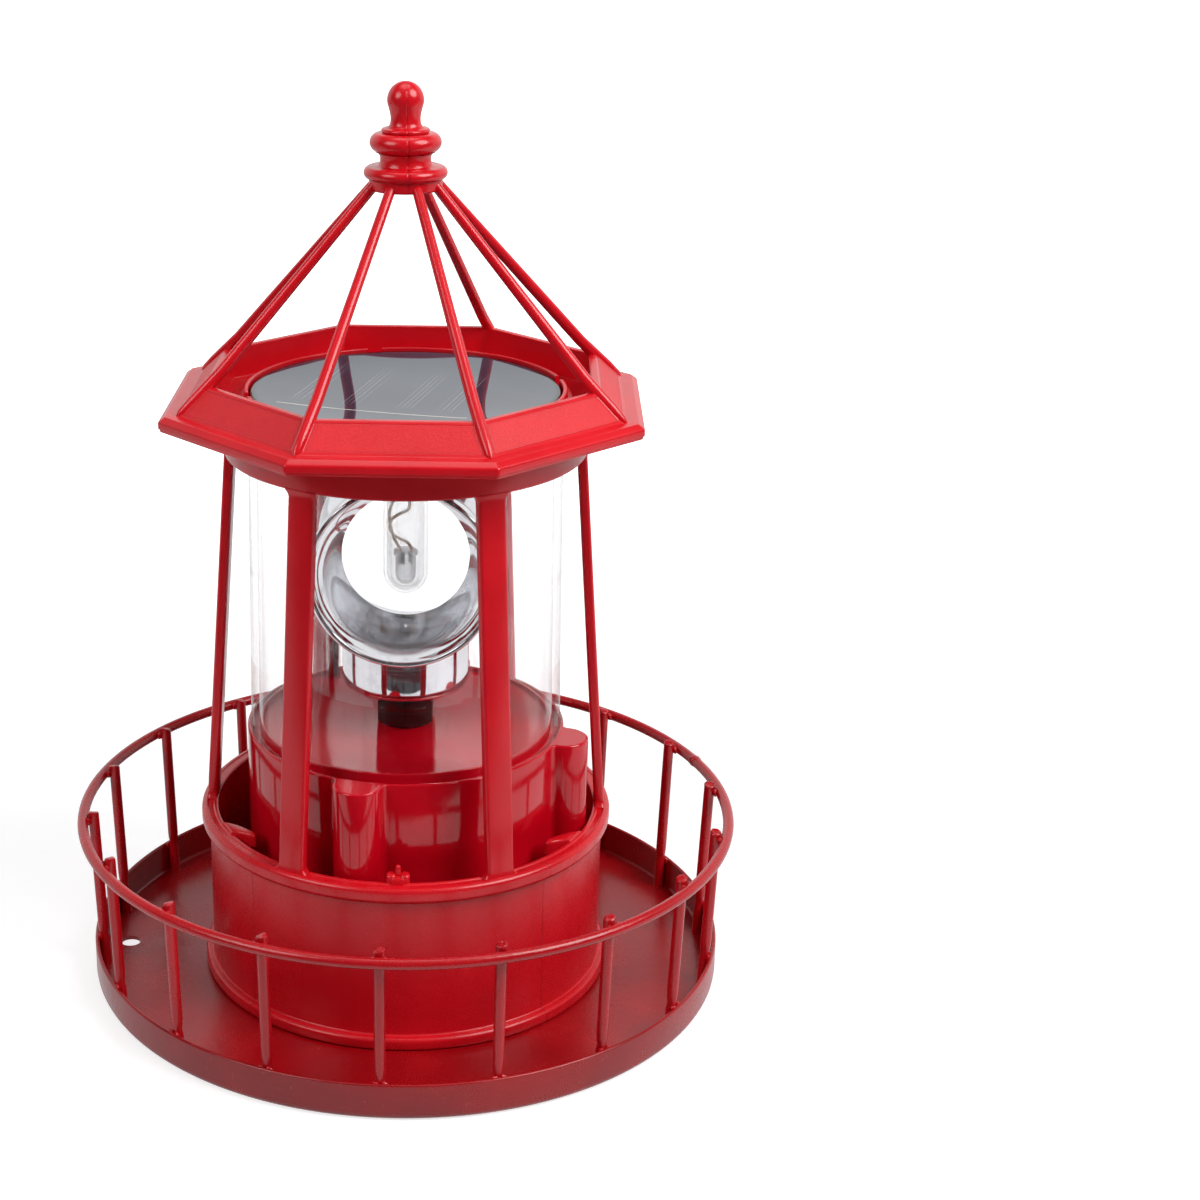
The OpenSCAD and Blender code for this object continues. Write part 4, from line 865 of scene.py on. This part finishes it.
# Roof: eight sloping panels over a rounded lip, an open channel and the seat of the solar panel
roof = {
    "sides": 8, "foot": 145.1, "floor": 147.1, "lipR": 60.3, "lipCorner": 1.1,
    "lip": ((-1.3, 0, 0.3), (-0.45, 0.1, 0.25), (-0.35, 0.7, 0.1), (-0.02, 0.9, 0.12), (0, 2.5, 0.8),
            (-1.6, 3.6, 0.5)),
    "bandFootR": 55.7, "bandFoot": 148.7, "bandTopR": 49.0, "bandTop": 154.9, "bandCorner": 1.0,
    "channelR": 47.1, "openingR": 38.4, "ledge": 147.95,
    "seatFootR": 39.6, "seatFootTop": 148.9, "seatR": 38.3, "seatInR": 37.3, "seatTop": 150.9,
    "spigotR": 41.05, "spigotInR": 39.45, "spigotFoot": 142.7,
    "marginTop": 0.75, "marginFoot": 0.9, "marginCorner": 1.5,
    "notchAngles": (-75, 15, 105, 195), "notchWidth": 3.6, "notchFoot": 148.95,
    "drainAt": 41.56, "drainAngle": -40, "drainR": 1.5,
}
spread = (0, 0.12, 0.25, 0.4, 0.55, 0.7, 0.9, 1.2, 1.45, 1.65, 1.9, 2.4, 3.5, 5.5, 8, 11, 14.5,
          18.5, 22.5)                           # degrees from a corner, closest where it bends
rises = (0.03, 0.06, 0.1, 0.14, 0.25, 0.4, 0.6, 0.75, 0.88, 0.92, 0.95, 0.98)


def octagonRadius(off, radius, corner):         # off: degrees from the nearest corner
    half = math.radians(180 / roof["sides"])
    flat = radius * math.cos(half)
    centre = (flat - corner) / math.cos(half)
    tangent = math.degrees(math.atan2(corner * math.sin(half), centre + corner * math.cos(half)))
    turn = math.radians(abs(off))
    if abs(off) >= tangent:
        return flat / math.cos(half - turn)
    return centre * math.cos(turn) + math.sqrt(corner ** 2 - (centre * math.sin(turn)) ** 2)


def makeRoof():
    s = roof
    angles = []
    for corner in range(s["sides"]):
        at = 22.5 + 45 * corner
        angles += [(at - off, off) for off in spread[:0:-1]] + [(at + off, off) for off in spread[:-1]]
    low = [(s["openingR"], s["foot"], 0), (s["spigotInR"], s["foot"], 0),
           (s["spigotInR"], s["spigotFoot"], 0.2), (s["spigotR"], s["spigotFoot"], 0.3),
           (s["spigotR"], s["foot"], 0)]
    lip = [(s["lipR"] + out, s["foot"] + up, arc) for out, up, arc in s["lip"]]
    band = [(s["bandFootR"], s["bandFoot"], 0.4), (s["bandTopR"], s["bandTop"], 0.35),
            (s["channelR"], s["bandTop"], 0.3), (s["channelR"], s["floor"], 0.6)]
    seat = [(s["seatFootR"], s["floor"], 0.4), (s["seatFootR"], s["seatFootTop"], 0.3),
            (s["seatR"], s["seatFootTop"], 0.25), (s["seatR"], s["seatTop"], 0.25),
            (s["seatInR"], s["seatTop"], 0.25), (s["seatInR"], s["ledge"], 0),
            (s["openingR"], s["ledge"], 0)]
    path = rounded([p if p[2] else p[:2] for p in low + lip + band + seat], 4)
    start = Vector((s["bandFootR"], s["bandFoot"]))
    slope = Vector((s["bandTopR"], s["bandTop"])) - start
    length = slope.length
    fine = []
    for p, after in zip(path, path[1:] + path[:1]):
        fine.append(p)
        if (after - p).length > 6 and p.x > s["channelR"] + 1 and abs(after.x - p.x) > 4:
            fine += [p.lerp(after, t) for t in rises]
    bm = bmesh.new()
    field = bm.verts.layers.float.new("field")
    rings = []
    marks = []
    for p in fine:
        isRound = p.x <= s["spigotR"] + 0.01
        corner = s["lipCorner"] if p.x > s["bandFootR"] + 0.3 else s["bandCorner"]
        along = (p - start).dot(slope) / length
        off = abs((p - start).cross(slope)) / length
        onBand = off < 0.05 and -0.01 <= along <= length + 0.01
        ring = []
        for angle, away in angles:
            r = p.x if isRound else octagonRadius(away, p.x, corner)
            ring.append(polar(r, angle, p.y))
            side = math.radians(away) * r / s["marginCorner"]
            value = min(along / s["marginFoot"], (length - along) / s["marginTop"], side)
            marks.append(min(max(value, 0), 3) if onBand else 0.0)
        rings.append(ring)
    loft(bm, rings, True)
    for vert, value in zip(bm.verts, marks):
        vert[field] = value
    piece = settle(bm, "roofShell", 35)
    drill(piece, [(s["drainAt"], s["drainAngle"], s["drainR"])], s["foot"] - 1, s["floor"] + 1.2, 32)
    notches = bmesh.new()
    for angle in s["notchAngles"]:
        block = turnedOutline(roundedSlab(s["notchWidth"], 5.5, 0.3), s["openingR"] + 0.6, angle)
        rings = [[Vector((p.x, p.y, z)) for p in block] for z in (s["notchFoot"], s["seatTop"] + 1)]
        ends = [[sum(ring, Vector()) / len(ring)] for ring in rings]
        loft(notches, [ends[0], rings[0], rings[1], ends[1]])
    carve(piece, settle(notches, "notches"))
    ready(piece, redRoof, "red_plastic", "roof_shell")


# Eight rods: each starts as a ridge on a corner of the roof and runs up to the finial
rods = {
    "count": 8, "firstAngle": 22.5, "sides": 20,
    "points": ((55.6, 148.4), (54.6, 149.2), (52.0, 151.6), (48.6, 154.7), (44.8, 158.3),
               (35.0, 169.0), (25.0, 179.9), (15.0, 190.8), (7.3, 199.2)),
    "radii": (0.5, 1.1, 1.32, 1.4, 1.38, 1.34, 1.28, 1.24, 1.2),
}
finial = {
    "foot": 197.6, "footR": 8.5, "lowerBead": (9.7, 200.0, 202.9), "waistR": 5.9,
    "upperBead": (8.3, 206.1, 210.5), "ring": (5.6, 210.5, 211.5), "neckR": 3.45,
    "pear": ((3.76, 212.1), (3.54, 212.7), (3.45, 213.4), (3.48, 214.1), (3.61, 214.9), (3.81, 215.7)),
    "waist": ((1.0, 0), (0.35, 0.25), (0, 1.1)),    # past the waist's radius, away from each bead
    "ballR": 4.25, "ballAt": 217.82, "sides": 96, "pipAngle": -52, "pipHeight": 217.4,
}


def makeRods():
    s = rods
    bm = bmesh.new()
    points = [polar(r, 0, z) for r, z in s["points"]]
    bar(bm, points, s["radii"], s["sides"], (1, 0, 0))
    piece = settle(bm, "roofRods", 50)
    repeat(piece, redPosts, {"Count": s["count"], "First Angle": s["firstAngle"], "Seed": 3})
    ready(piece, redPosts, "red_plastic", "roof_rods")


def makeFinial():
    s = finial
    lowR, low0, low1 = s["lowerBead"]
    topR, top0, top1 = s["upperBead"]
    ringR, ring0, ring1 = s["ring"]
    bead = (low1 - low0) / 2
    path = rounded([(0, s["foot"]), (s["footR"], s["foot"], 0.5), (s["footR"], low0)])
    path += arcPoints((lowR - bead, low0 + bead), bead, -80, 90, 14)
    path += [Vector((s["waistR"] + out, low1 + up)) for out, up in s["waist"]]
    path += [Vector((s["waistR"] + out, top0 - up)) for out, up in reversed(s["waist"])]
    bead = (top1 - top0) / 2
    path += arcPoints((topR - bead, top0 + bead), bead, -85, 85, 16)
    path += [Vector((ringR - 0.4, top1))]
    path += arcPoints((ringR - 0.5, (ring0 + ring1) / 2), 0.5, -80, 80, 8)
    path += [Vector((s["neckR"] + 1.2, ring1)), Vector((s["neckR"] + 0.65, ring1 + 0.25))]
    path += [Vector(point) for point in s["pear"]]
    path += arcPoints((0, s["ballAt"]), s["ballR"], -20, 90, 22)[:-1]
    path += [Vector((0, s["ballAt"] + s["ballR"]))]
    bm = bmesh.new()
    lathe(bm, path, s["sides"])
    spot = polar(s["ballR"] - 0.1, s["pipAngle"], s["pipHeight"])
    weldBead(bm, spot, (0.3, 0.3, 0.3), 1)
    ready(settle(bm, "finial", 45), redTop, "red_plastic", "finial")


makeRoof()
makeRods()
makeFinial()
print("roof ready")

# Solar panel under the roof, with the metal ribbon and four groups of cell lines
panel = {
    "radius": 36.9, "low": 147.8, "high": 150.2, "dish": 1.0, "lipR": 35.9, "sides": 192,
    "turn": 13.6, "groups": (-22, -9.7, 3.5, 13.2), "lines": 4, "lineStep": 1.25,
    "lineEnds": (-15.5, 27.0), "ribbonAt": -18.7, "ribbonEnds": (-25.9, 20.4),
}


def makePanel():                                # the resin stands a little higher along its edge
    s = panel
    path = rounded([(0, s["low"]), (s["radius"] - 0.2, s["low"]), (s["radius"], s["low"] + 0.2)])
    path += arcPoints((s["radius"] - 0.5, s["high"] - 0.5), 0.5, 0, 90, 8)
    for k in range(25):
        share = 1 - k / 24
        path.append(Vector((s["lipR"] * share, s["high"] - s["dish"] * (1 - share ** 3))))
    piece = turnedPiece("solarPanel", path, s["sides"], angle=40)
    ready(piece, resinPanel(s), "solar_panel", "solar_panel")


# Clear cylinder with a small bead at its foot
cylinder = {
    "footR": 38.4, "topR": 37.6, "wall": 2.0, "foot": 63.7, "seat": 65.2, "top": 146.2,
    "bead": 0.5, "beadH": 1.0, "sides": 192,
}


def makeCylinder():
    s = cylinder
    beadR, beadTop = s["footR"] + s["bead"], s["seat"] + s["beadH"]
    piece = turnedPiece("clearCylinder", rounded([
        (s["footR"] - s["wall"], s["foot"], 0.2), (s["footR"], s["foot"], 0.2), (s["footR"], s["seat"]),
        (beadR, s["seat"], 0.15), (beadR, beadTop, 0.3), (s["footR"], beadTop + s["bead"], 0.2),
        (s["topR"], s["top"], 0.1), (s["topR"] - s["wall"], s["top"], 0.1),
    ], 3), s["sides"], True, 40)
    ready(piece, clearWall, "clear_plastic", "glass_cylinder")


makePanel()
makeCylinder()

# Lamp base: a round wall that swells into three screw bosses
base = {
    "wallR": 39.4, "innerR": 37.4, "wallSteps": 44, "fillet": 1.6,
    "bossR": 5.9, "bossAt": 40.5, "bossAngles": (-13, 77, 167),
    "foot": 5.8, "top": 65.2, "edge": 0.5, "grooveOut": 38.55, "grooveIn": 36.25, "grooveFloor": 63.7,
    "rimTop": 66.5, "rimIn": 35.45, "holeR": 4.15, "ceiling": 62.2,
}


def onPlan(radius, turn):                       # radians from the front
    return Vector((radius * math.sin(turn), -radius * math.cos(turn)))


def around(centre, radius, turns):
    return [centre + radius * Vector((math.cos(a), math.sin(a))) for a in turns]


def baseOutline(inset):                         # the wall's outline, moved in by inset
    s = base
    reach = s["wallR"] + s["fillet"]
    gap = s["bossR"] + s["fillet"]
    away = math.acos((s["bossAt"] ** 2 + reach ** 2 - gap ** 2) / (2 * s["bossAt"] * reach))
    outline = []
    for number, boss in enumerate(s["bossAngles"]):
        middle = math.radians(boss)
        centre = onPlan(s["bossAt"], middle)
        for side in (-1, 1):
            corner = onPlan(reach, middle + side * away)
            wall = math.atan2(-corner.y, -corner.x)
            inner = math.atan2(centre.y - corner.y, centre.x - corner.x)
            sweep = (inner - wall + math.pi) % (2 * math.pi) - math.pi
            arc = [wall + sweep * k / 7 for k in range(8)][::-side]
            fillet = around(corner, s["fillet"] + inset, arc)
            outline += fillet
            if side < 0:
                start = math.atan2(fillet[-1].y - centre.y, fillet[-1].x - centre.x)
                mirror = 2 * math.atan2(centre.y, centre.x) - start
                span = (mirror - start) % (2 * math.pi)
                turns = [start + span * k / 28 for k in range(1, 28)]
                outline += around(centre, s["bossR"] - inset, turns)
        first = middle + away
        last = math.radians(s["bossAngles"][(number + 1) % 3] + (360 if number == 2 else 0)) - away
        for k in range(1, s["wallSteps"]):
            turn = first + (last - first) * k / s["wallSteps"]
            outline.append(onPlan(s["wallR"] - inset, turn))
    return outline


def makeBase():
    s = base
    levels = [(0.5, s["foot"]), (0, s["foot"] + 0.5), (0, 20), (0, 35), (0, 50)]
    for k in range(7):
        turn = math.pi / 2 * k / 6
        levels.append((s["edge"] * (1 - math.cos(turn)), s["top"] - s["edge"] * (1 - math.sin(turn))))
    levels.append((s["edge"] + 0.1, s["top"]))  # holds the top flat
    inner = rounded([
        (s["grooveOut"] + 0.22, s["top"]), (s["grooveOut"], s["top"], 0.15),
        (s["grooveOut"], s["grooveFloor"], 0.2), (s["grooveIn"], s["grooveFloor"], 0.2),
        (s["grooveIn"], s["rimTop"], 0.25), (s["rimIn"], s["rimTop"], 0.25), (s["rimIn"], s["top"], 0.4),
        (s["holeR"], s["top"], 0.2), (s["holeR"], s["ceiling"], 0.2), (s["innerR"], s["ceiling"], 0.5),
        (s["innerR"], s["foot"]),
    ], 3)
    loops = [[Vector((p.x, p.y, z)) for p in baseOutline(inset)] for inset, z in levels]
    outward = [Vector((q.x, q.y, 0)).normalized() for q in baseOutline(0)]
    loops += [[q * p.x + Vector((0, 0, p.y)) for q in outward] for p in inner]
    bm = bmesh.new()
    loft(bm, loops, True)
    ready(settle(bm, "lampBase", 40), redBase, "base_plastic", "lamp_base")


makeBase()
print("lamp base ready")

# Reflector: two bowls back to back on a skirt, turned by the shaft
reflector = {
    "waistR": 16.8, "rimR": 22.6, "rimAt": 17.6, "shoulder": 0.84, "wall": 1.2, "centre": 108.6,
    "holeR": 6.35, "skirtR": 15.6, "skirtFoot": 76.0, "hubR": 3.2, "hubTop": 81.0, "boreR": 1.05,
    "sides": 160, "rows": 22, "nub": (0.4, -3.0), "nubSize": (0.62, 0.62, 0.5),
}


def bowlR(y):
    s = reflector
    share = min(1, abs(y) / s["rimAt"] / s["shoulder"])
    return s["waistR"] + (s["rimR"] - s["waistR"]) * math.sin(math.pi / 2 * share)


def makeReflector():
    s = reflector
    rows = [s["rimAt"] * (2 * k / (2 * s["rows"]) - 1) for k in range(2 * s["rows"] + 1)]
    half = s["wall"] / 2
    section = []
    for side, inwards in ((1, 0), (-1, s["wall"])):
        section += [(bowlR(y) - inwards, y) for y in rows[::side]]
        for turn in (math.pi * k / 8 for k in range(1, 8)):
            out, along = side * half * math.cos(turn), side * (s["rimAt"] + 0.35 * math.sin(turn))
            section.append((s["rimR"] - half + out, along))
    bm = bmesh.new()
    rings = []
    for r, y in section:
        turns = fullTurn(s["sides"])
        rings.append([(r * math.sin(a), y, s["centre"] + r * math.cos(a)) for a in turns])
    loft(bm, rings, True)
    bowls = settle(bm, "reflector", 50)
    drill(bowls, [(0, 0, s["holeR"])], s["centre"] + 2, s["centre"] + 30, 72)
    bm = bmesh.new()
    sides = 200
    outer, inner = s["skirtR"], s["skirtR"] - s["wall"]

    def topOf(r, angle):                        # the skirt's wall ends inside the wall of the bowls
        point = polar(r, angle)
        bowl = bowlR(point.y) - s["wall"] / 2
        return s["centre"] - math.sqrt(max(bowl ** 2 - point.x ** 2, 0))

    def level(r, z):
        return [polar(r, 360 * k / sides, z) for k in range(sides)]

    foot = s["skirtFoot"]
    rings = [level(s["boreR"], foot), level(outer - 1.0, foot)]
    for k in range(1, 7):
        turn = math.pi / 2 * k / 6
        rings.append(level(outer - 1.0 + math.sin(turn), foot + 1 - math.cos(turn)))
    for share in (0.25, 0.5, 0.75, 1.0):
        tops = [foot + 1 + (topOf(outer, 360 * k / sides) - foot - 1) * share for k in range(sides)]
        rings.append([Vector((p.x, p.y, z)) for p, z in zip(level(outer, 0), tops)])
    tops = [topOf(inner, 360 * k / sides) for k in range(sides)]
    rings.append([Vector((p.x, p.y, z)) for p, z in zip(level(inner, 0), tops)])
    floor = foot + s["wall"]
    rings += [level(inner, floor + 0.6), level(inner - 0.6, floor), level(s["hubR"], floor),
              level(s["hubR"], s["hubTop"]), level(s["boreR"], s["hubTop"])]
    loft(bm, rings, True)
    x, y = s["nub"]
    weldBead(bm, (x, y, s["centre"] - bowlR(y) + s["wall"]), s["nubSize"], 0)
    skirt = settle(bm, "skirt", 45)
    whole = bmesh.new()
    whole.from_mesh(bowls.data)
    whole.from_mesh(skirt.data)
    bpy.data.objects.remove(bowls)
    bpy.data.objects.remove(skirt)
    ready(settle(whole, "reflector", 45), plating, "chrome", "reflector", body="rotor")


makeReflector()

# The light: a clear tube, the diode in it on crossed leads, and the black sleeve above
light = {
    "tubeR": 5.45, "wall": 0.9, "tubeLow": 98.9, "tubeTop": 146.2, "sides": 64,
    "sleeveR": 3.75, "boreR": 1.5, "sleeveLow": 126.2,
    "diodeLow": 101.2, "diodeR": 2.5, "diodeLen": 8.6, "flange": 0.45, "flangeH": 1.1,
    "leadR": 0.38,
}


def makeTube():
    s = light
    outer, inner = s["tubeR"], s["tubeR"] - s["wall"]
    middle = s["tubeLow"] + outer
    low, top = s["tubeTop"] - 25, s["tubeTop"]
    path = [(0, s["tubeLow"])] + arcPoints((0, middle), outer, -86, 0, 14)
    path += [(outer, low), (outer, top), (inner, top), (inner, low)]
    path += arcPoints((0, middle), inner, 0, -86, 14) + [(0, middle - inner)]
    piece = turnedPiece("ledTube", path, s["sides"], angle=40)
    ready(piece, clearTube, "clear_plastic", "led_tube")


def makeSleeve():
    s = light
    piece = turnedPiece("ledSleeve", rounded([
        (s["boreR"], s["sleeveLow"], 0.2), (s["sleeveR"], s["sleeveLow"], 0.4),
        (s["sleeveR"], s["tubeTop"], 0.2), (s["boreR"], s["tubeTop"], 0.2),
    ]), s["sides"], True)
    ready(piece, blackPlastic("black_sleeve", 12, 0.5, 0.03), "black_plastic", "led_sleeve")


def makeDiode():
    s = light
    r, low, top = s["diodeR"], s["diodeLow"], s["diodeLow"] + s["diodeLen"]
    path = [Vector((0, low))] + arcPoints((0, low + r), r, -85, 0, 12)
    rim = rounded([(r, top - s["flangeH"]), (r + s["flange"], top - s["flangeH"], 0.12),
                   (r + s["flange"], top, 0.15), (0, top)], 3)
    ready(turnedPiece("ledDiode", path + rim, 48), clearEpoxy, "clear_lens", "led_diode")
    bm = bmesh.new()                            # the two legs' heads inside the lens: a cup and a post
    for x, width, height in ((-0.7, 1.2, 2.3), (0.85, 0.6, 2.0)):
        slab = [Vector((p.x + x, p.y)) for p in roundedSlab(width, 0.45, 0.1, 3)]
        prism(bm, slab, top - s["flangeH"] - height, top - 0.4, 0.08)
    return settle(bm, "ledFrame")


def makeLeads():
    s = light
    top = s["diodeLow"] + s["diodeLen"]
    end = s["sleeveLow"] + 5.5
    left = [(-1.27, 0.1, -0.3), (-1.6, 0.1, 0.6), (-2.6, 0.2, 2.4), (-3.4, 0.3, 4.6), (-3.9, 0.3, 7.2),
            (-3.9, 0.3, 9.6), (-3.0, 0.3, 12.2), (-1.0, 0.3, 14.2)]
    right = [(1.27, -0.3, -0.3), (1.35, -0.3, 0.6), (0.4, -0.4, 2.1), (-2.2, -0.6, 3.5),
             (-3.6, -0.7, 5.0), (-3.75, -0.7, 6.6), (-3.2, -0.6, 8.0), (-1.6, -0.6, 9.3),
             (0.5, -0.5, 10.4), (1.0, -0.5, 12.4)]
    left = [(x, y, top + up) for x, y, up in left] + [(-0.65, 0.3, end)]
    right = [(x, y, top + up) for x, y, up in right] + [(0.75, -0.4, end)]
    bm = bmesh.new()
    for path in (left, right):
        bar(bm, smoothPath(path, 8), s["leadR"], 10, (0, 1, 0))
    look = metal("bronze_lead", tone(205, 150, 84), tone(150, 96, 50), 0.2, (1, 1, 0.3), 0.6)
    ready(settle(bm, "ledLeads", 60), look, "lead_wire", "led_leads")


# Wire conduit behind the rear left post, nut and bush at the foot of the reflector
conduit = {
    "angle": -142.4, "at": 33.3, "radius": 1.9, "wall": 0.3, "low": 65.2, "high": 146.2, "sides": 32,
}
nut = {
    "radius": 7.7, "low": 65.2, "high": 72.6, "holeR": 4.15, "chamfer": 1.1,
    "turns": (-2, 0, 2, 10, 20, 30, 40, 50),    # degrees from each corner
}


def makeConduit():
    s = conduit
    bm = bmesh.new()
    outer, inner = s["radius"], s["radius"] - s["wall"]
    path = [(outer, s["low"]), (outer, s["high"]), (inner, s["high"]), (inner, s["low"])]
    lathe(bm, path, s["sides"], True)
    bmesh.ops.translate(bm, verts=bm.verts, vec=polar(s["at"], s["angle"]) * mm)
    ready(settle(bm, "wireConduit"), clearTube, "clear_plastic", "wire_conduit")


def makeNut():
    s = nut
    low, high, chamfer = s["low"], s["high"], s["chamfer"]
    flats = s["radius"] * math.cos(math.pi / 6)
    angles = sorted([60 * k + off for k in range(6) for off in s["turns"]])
    heights = (low, low + chamfer * 0.5, low + chamfer, high - chamfer, high - chamfer * 0.5, high)
    rings = [[polar(s["holeR"], angle, low) for angle in angles]]
    for z in heights:
        ring = []
        for angle in angles:
            off = math.radians((angle + 30) % 60 - 30)
            face = flats / math.cos(math.pi / 6 - abs(off))
            bite = max(low + chamfer - z, z - high + chamfer, 0) / chamfer
            limit = s["radius"] - (s["radius"] - flats + 0.3) * bite ** 1.4
            ring.append(polar(min(face, limit), angle, z))
        rings.append(ring)
    rings.append([polar(s["holeR"], angle, high) for angle in angles])
    bm = bmesh.new()
    loft(bm, rings, True)
    look = blackPlastic("black_nut", 4, 0.3, 0.015, 0.12)
    ready(settle(bm, "lockNut", 28), look, "black_plastic", "lock_nut")


makeTube()
makeSleeve()
frameOfDiode = makeDiode()
ready(frameOfDiode, metal("tinned_frame", tone(214, 214, 216), tone(160, 160, 164)), "lead_wire")
makeLeads()
makeConduit()
makeNut()
print("reflector and light ready")

# What is left of the works keeps its own shape and gets its finish here
blackMat = blackPlastic("black_housing", 20, 0.45, 0.03)
blackSmooth = blackPlastic("black_smooth", 14, 0.32, 0.012)
paleGear = softPlastic("gear_nylon", tone(226, 222, 208), tone(206, 200, 184), 0.4)
steel = metal("zinc_steel", tone(206, 208, 212), tone(140, 142, 148), 0.24)
brass = metal("brass", tone(214, 176, 96), tone(156, 118, 58), 0.22)
nodeLooks = {
    "base_cover": blackMat, "head_cap": blackMat, "battery_door": blackMat, "gear_plate": paleGear,
    "shaft_bush": blackSmooth, "drive_shaft": blackSmooth, "switch_slider": blackSmooth,
    "output_gear": paleGear, "idler_gear": paleGear, "motor_pinion": brass, "idler_pin": steel,
    "motor": steel, "plate_screws": steel, "board_screws": steel, "cover_screws": steel,
    "tray_screws": steel, "door_screw": steel, "switch_body": steel, "battery_contacts": steel,
    "circuit_board": boardGreen(), "battery_cell": cellSleeve(),
    "motor_wires": twoWires("motor_wire_covers", (1, 0, 0), 12.06),
    "battery_wires": twoWires("battery_wire_covers", (1, 0, 0), 0.0),
    "conduit_wires": twoWires("conduit_wire_covers", (-0.792, -0.610, 0), 0.0),
}
for name, look in nodeLooks.items():
    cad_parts[name].data.materials.clear()
    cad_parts[name].data.materials.append(look)
print("materials on", len(nodeLooks), "frame nodes")

# Studio: a pale floor, soft lamps, white behind, a dim room in front
studio = {
    "floorRadii": (0, 300, 900, 3000), "floorAt": -0.02, "floorTone": tone(190, 190, 192),
    "floorLift": 0.7, "mirrorLift": 0.5, "ambient": 0.13,
    "darkFrom": -0.180, "darkFull": -0.168,     # from here towards the camera the floor is painted dark for mirror and glass rays only, a painted dim room in reflections
    "lamps": (
        ("key", (0.60, -0.26, 0.72), 0.60, 7.6),
        ("fill", (-0.56, -0.46, 0.62), 0.50, 3.0),
        ("top", (0.0, 0.10, 1.0), 0.60, 1.8),
    ),
}


def makeFloor():
    s = studio
    floor = turnedPiece("floor", [(radius, s["floorAt"]) for radius in s["floorRadii"]], 96)
    look, at = newLook("pale_floor")
    cloud = noise(at, 60, 3.0)
    colour = mixTone(cloud, s["floorTone"], tone(184, 184, 186))
    path = at.node("ShaderNodeLightPath", {}, {}, "Is Camera Ray")
    bounced = path.maths("MAXIMUM", path.other("Is Glossy Ray"), path.other("Is Transmission Ray"))
    bounced = bounced * (1 - path)
    front = fade(axes(at)[1], s["darkFrom"], s["darkFull"], 1.0, 0.0)
    away = at.node("ShaderNodeVectorMath", {"operation": "LENGTH"}, {0: at}, "Value")
    lift = path * (fade(away, 0.12, 0.6) * 0.9 + s["floorLift"])
    lift = lift + bounced * (1 - front) * s["mirrorLift"]
    # painted reflection: the front floor turns dark only for mirror and glass rays
    colour = mixTone(front * bounced, colour, tone(30, 26, 28))
    sockets = {"Base Color": colour, "Roughness": 0.7, "Specular IOR Level": 0.2}
    body = at.node("ShaderNodeBsdfPrincipled", {}, sockets)
    glow = at.node("ShaderNodeEmission", {}, {"Color": (1, 1, 1, 1), "Strength": lift})
    both = at.node("ShaderNodeAddShader", {}, {0: body, 1: glow})
    at.node("ShaderNodeOutputMaterial", {}, {"Surface": both})
    floor.data.materials.append(look)


def makeWorld():
    s = studio
    world = bpy.data.worlds.new("room")
    bpy.context.scene.world = world
    world.use_nodes = True
    world.node_tree.nodes.clear()
    at = Wire(world.node_tree).node("ShaderNodeTexCoord", {}, {}, "Generated")
    _, y, z = axes(at)
    path = at.node("ShaderNodeLightPath", {}, {}, "Is Camera Ray")
    behind = fade(y, 0.0, 0.35) * fade(z, 0.45, 0.75, 1.0, 0.0) * 0.94 + fade(z, 0.7, 0.95) * 0.4 + 0.04
    through = fade(y, -0.3, 0.1) * 0.97 + 0.03
    clear = path.other("Is Transmission Ray")
    glossy = path.other("Is Glossy Ray") * (1 - clear)
    strength = path * (1 - s["ambient"]) + s["ambient"]
    strength = strength + glossy * (behind - s["ambient"]) + clear * (through - s["ambient"])
    shine = at.node("ShaderNodeBackground", {}, {"Color": (1, 1, 1, 1), "Strength": strength})
    at.node("ShaderNodeOutputWorld", {}, {"Surface": shine})


def makeLamps():
    for name, place, size, power in studio["lamps"]:
        data = bpy.data.lights.new(name, "AREA")
        data.shape = "DISK"
        data.size = size
        data.energy = power
        lamp = bpy.data.objects.new(name, data)
        bpy.context.scene.collection.objects.link(lamp)
        lamp.location = place
        lamp.rotation_euler = (Vector(place) - Vector((0, 0, 0.1))).to_track_quat("Z", "Y").to_euler()


makeFloor()
makeWorld()
makeLamps()
bpy.context.scene.view_settings.view_transform = "Standard"
print("studio ready")
